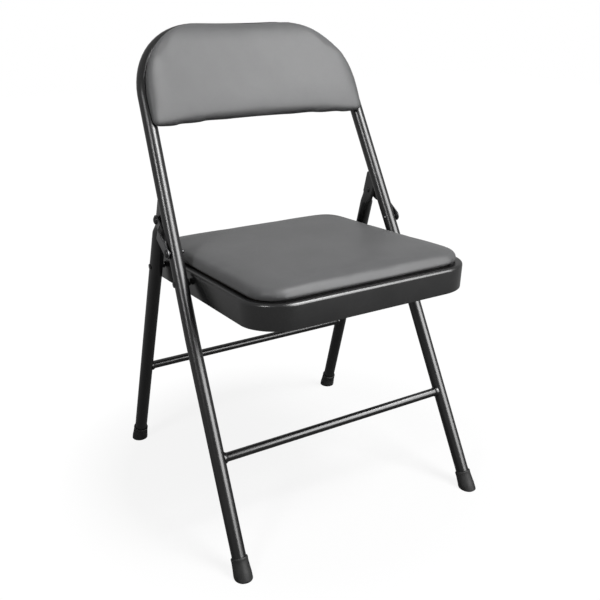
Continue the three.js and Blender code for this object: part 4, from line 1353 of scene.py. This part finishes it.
def soft_lamp(name, place, width, height, power):
    """A rectangular lamp that faces the chair."""
    data = bpy.data.lights.new(name, "AREA")
    data.shape = "RECTANGLE"
    data.size = width
    data.size_y = height
    data.energy = power
    lamp = bpy.data.objects.new(name, data)
    bpy.context.scene.collection.objects.link(lamp)
    lamp.location = place
    lamp.rotation_euler = (Vector(LAMP_TARGET) - Vector(place)).to_track_quat("-Z", "Y").to_euler()
    return lamp


class ChairStage(bpy.types.Operator):
    """The floor, the lamps and the camera"""

    bl_idname = "chair.stage"
    bl_label = "Studio"

    def execute(self, context):
        studio = context.scene.chair_studio
        deselect()
        bpy.ops.mesh.primitive_plane_add(size=STUDIO_FLOOR, location=(0, 0, 0))
        floor = context.object
        floor.name = "studio_floor"
        floor.data.materials.append(studio_floor(studio))
        studio_world(studio)
        for name, place, width, height in LAMPS:
            lamp = soft_lamp(f"{name}_lamp", place, width, height, getattr(studio, name))
            lamp.visible_diffuse = name != "gloss"
        camera_data = bpy.data.cameras.new("camera")
        camera_data.lens = studio.lens
        camera = bpy.data.objects.new("camera", camera_data)
        context.scene.collection.objects.link(camera)
        camera.location = studio.place
        camera.rotation_euler = (math.pi / 2 - studio.dip, 0, -studio.turn)
        context.scene.camera = camera
        context.scene.view_settings.view_transform = "Standard"
        return {"FINISHED"}


# ---------------------------------------------------------------- add-on

OPERATORS = (
    ChairFrontFrame, ChairCrossbars, ChairRearLegs, ChairTips, ChairSeatPan, ChairBackPanel, ChairSideLinks,
    ChairFasteners, ChairSeatPad, ChairBackPad, ChairCarried, ChairStage,
)


class ChairPanel(bpy.types.Panel):
    """Lists the steps in the 3D view's sidebar"""

    bl_idname = "VIEW3D_PT_folding_chair"
    bl_label = "Folding Chair"
    bl_space_type = "VIEW_3D"
    bl_region_type = "UI"
    bl_category = "Chair"

    def draw(self, context):
        for group in GROUPS:
            box = self.layout.box()
            settings = getattr(context.scene, group)
            for name in settings.__annotations__:
                box.prop(settings, name)
        for operator in OPERATORS:
            self.layout.operator(operator.bl_idname)


def register():
    """Registers the settings, the operators and the panel."""
    for settings in GROUPS.values():
        bpy.utils.register_class(settings)
    for operator in OPERATORS:
        bpy.utils.register_class(operator)
    bpy.utils.register_class(ChairPanel)
    for name, settings in GROUPS.items():
        setattr(bpy.types.Scene, name, PointerProperty(type=settings))


def unregister():
    """Takes them all away again."""
    for name in GROUPS:
        delattr(bpy.types.Scene, name)
    bpy.utils.unregister_class(ChairPanel)
    for kind in (*reversed(OPERATORS), *reversed(GROUPS.values())):
        bpy.utils.unregister_class(kind)


def main():
    """Makes the chair piece by piece, then the studio."""
    register()
    deselect()
    for operator in OPERATORS:
        group, name = operator.bl_idname.split(".")
        getattr(getattr(bpy.ops, group), name)()
    deselect()


if __name__ == "__main__":
    main()
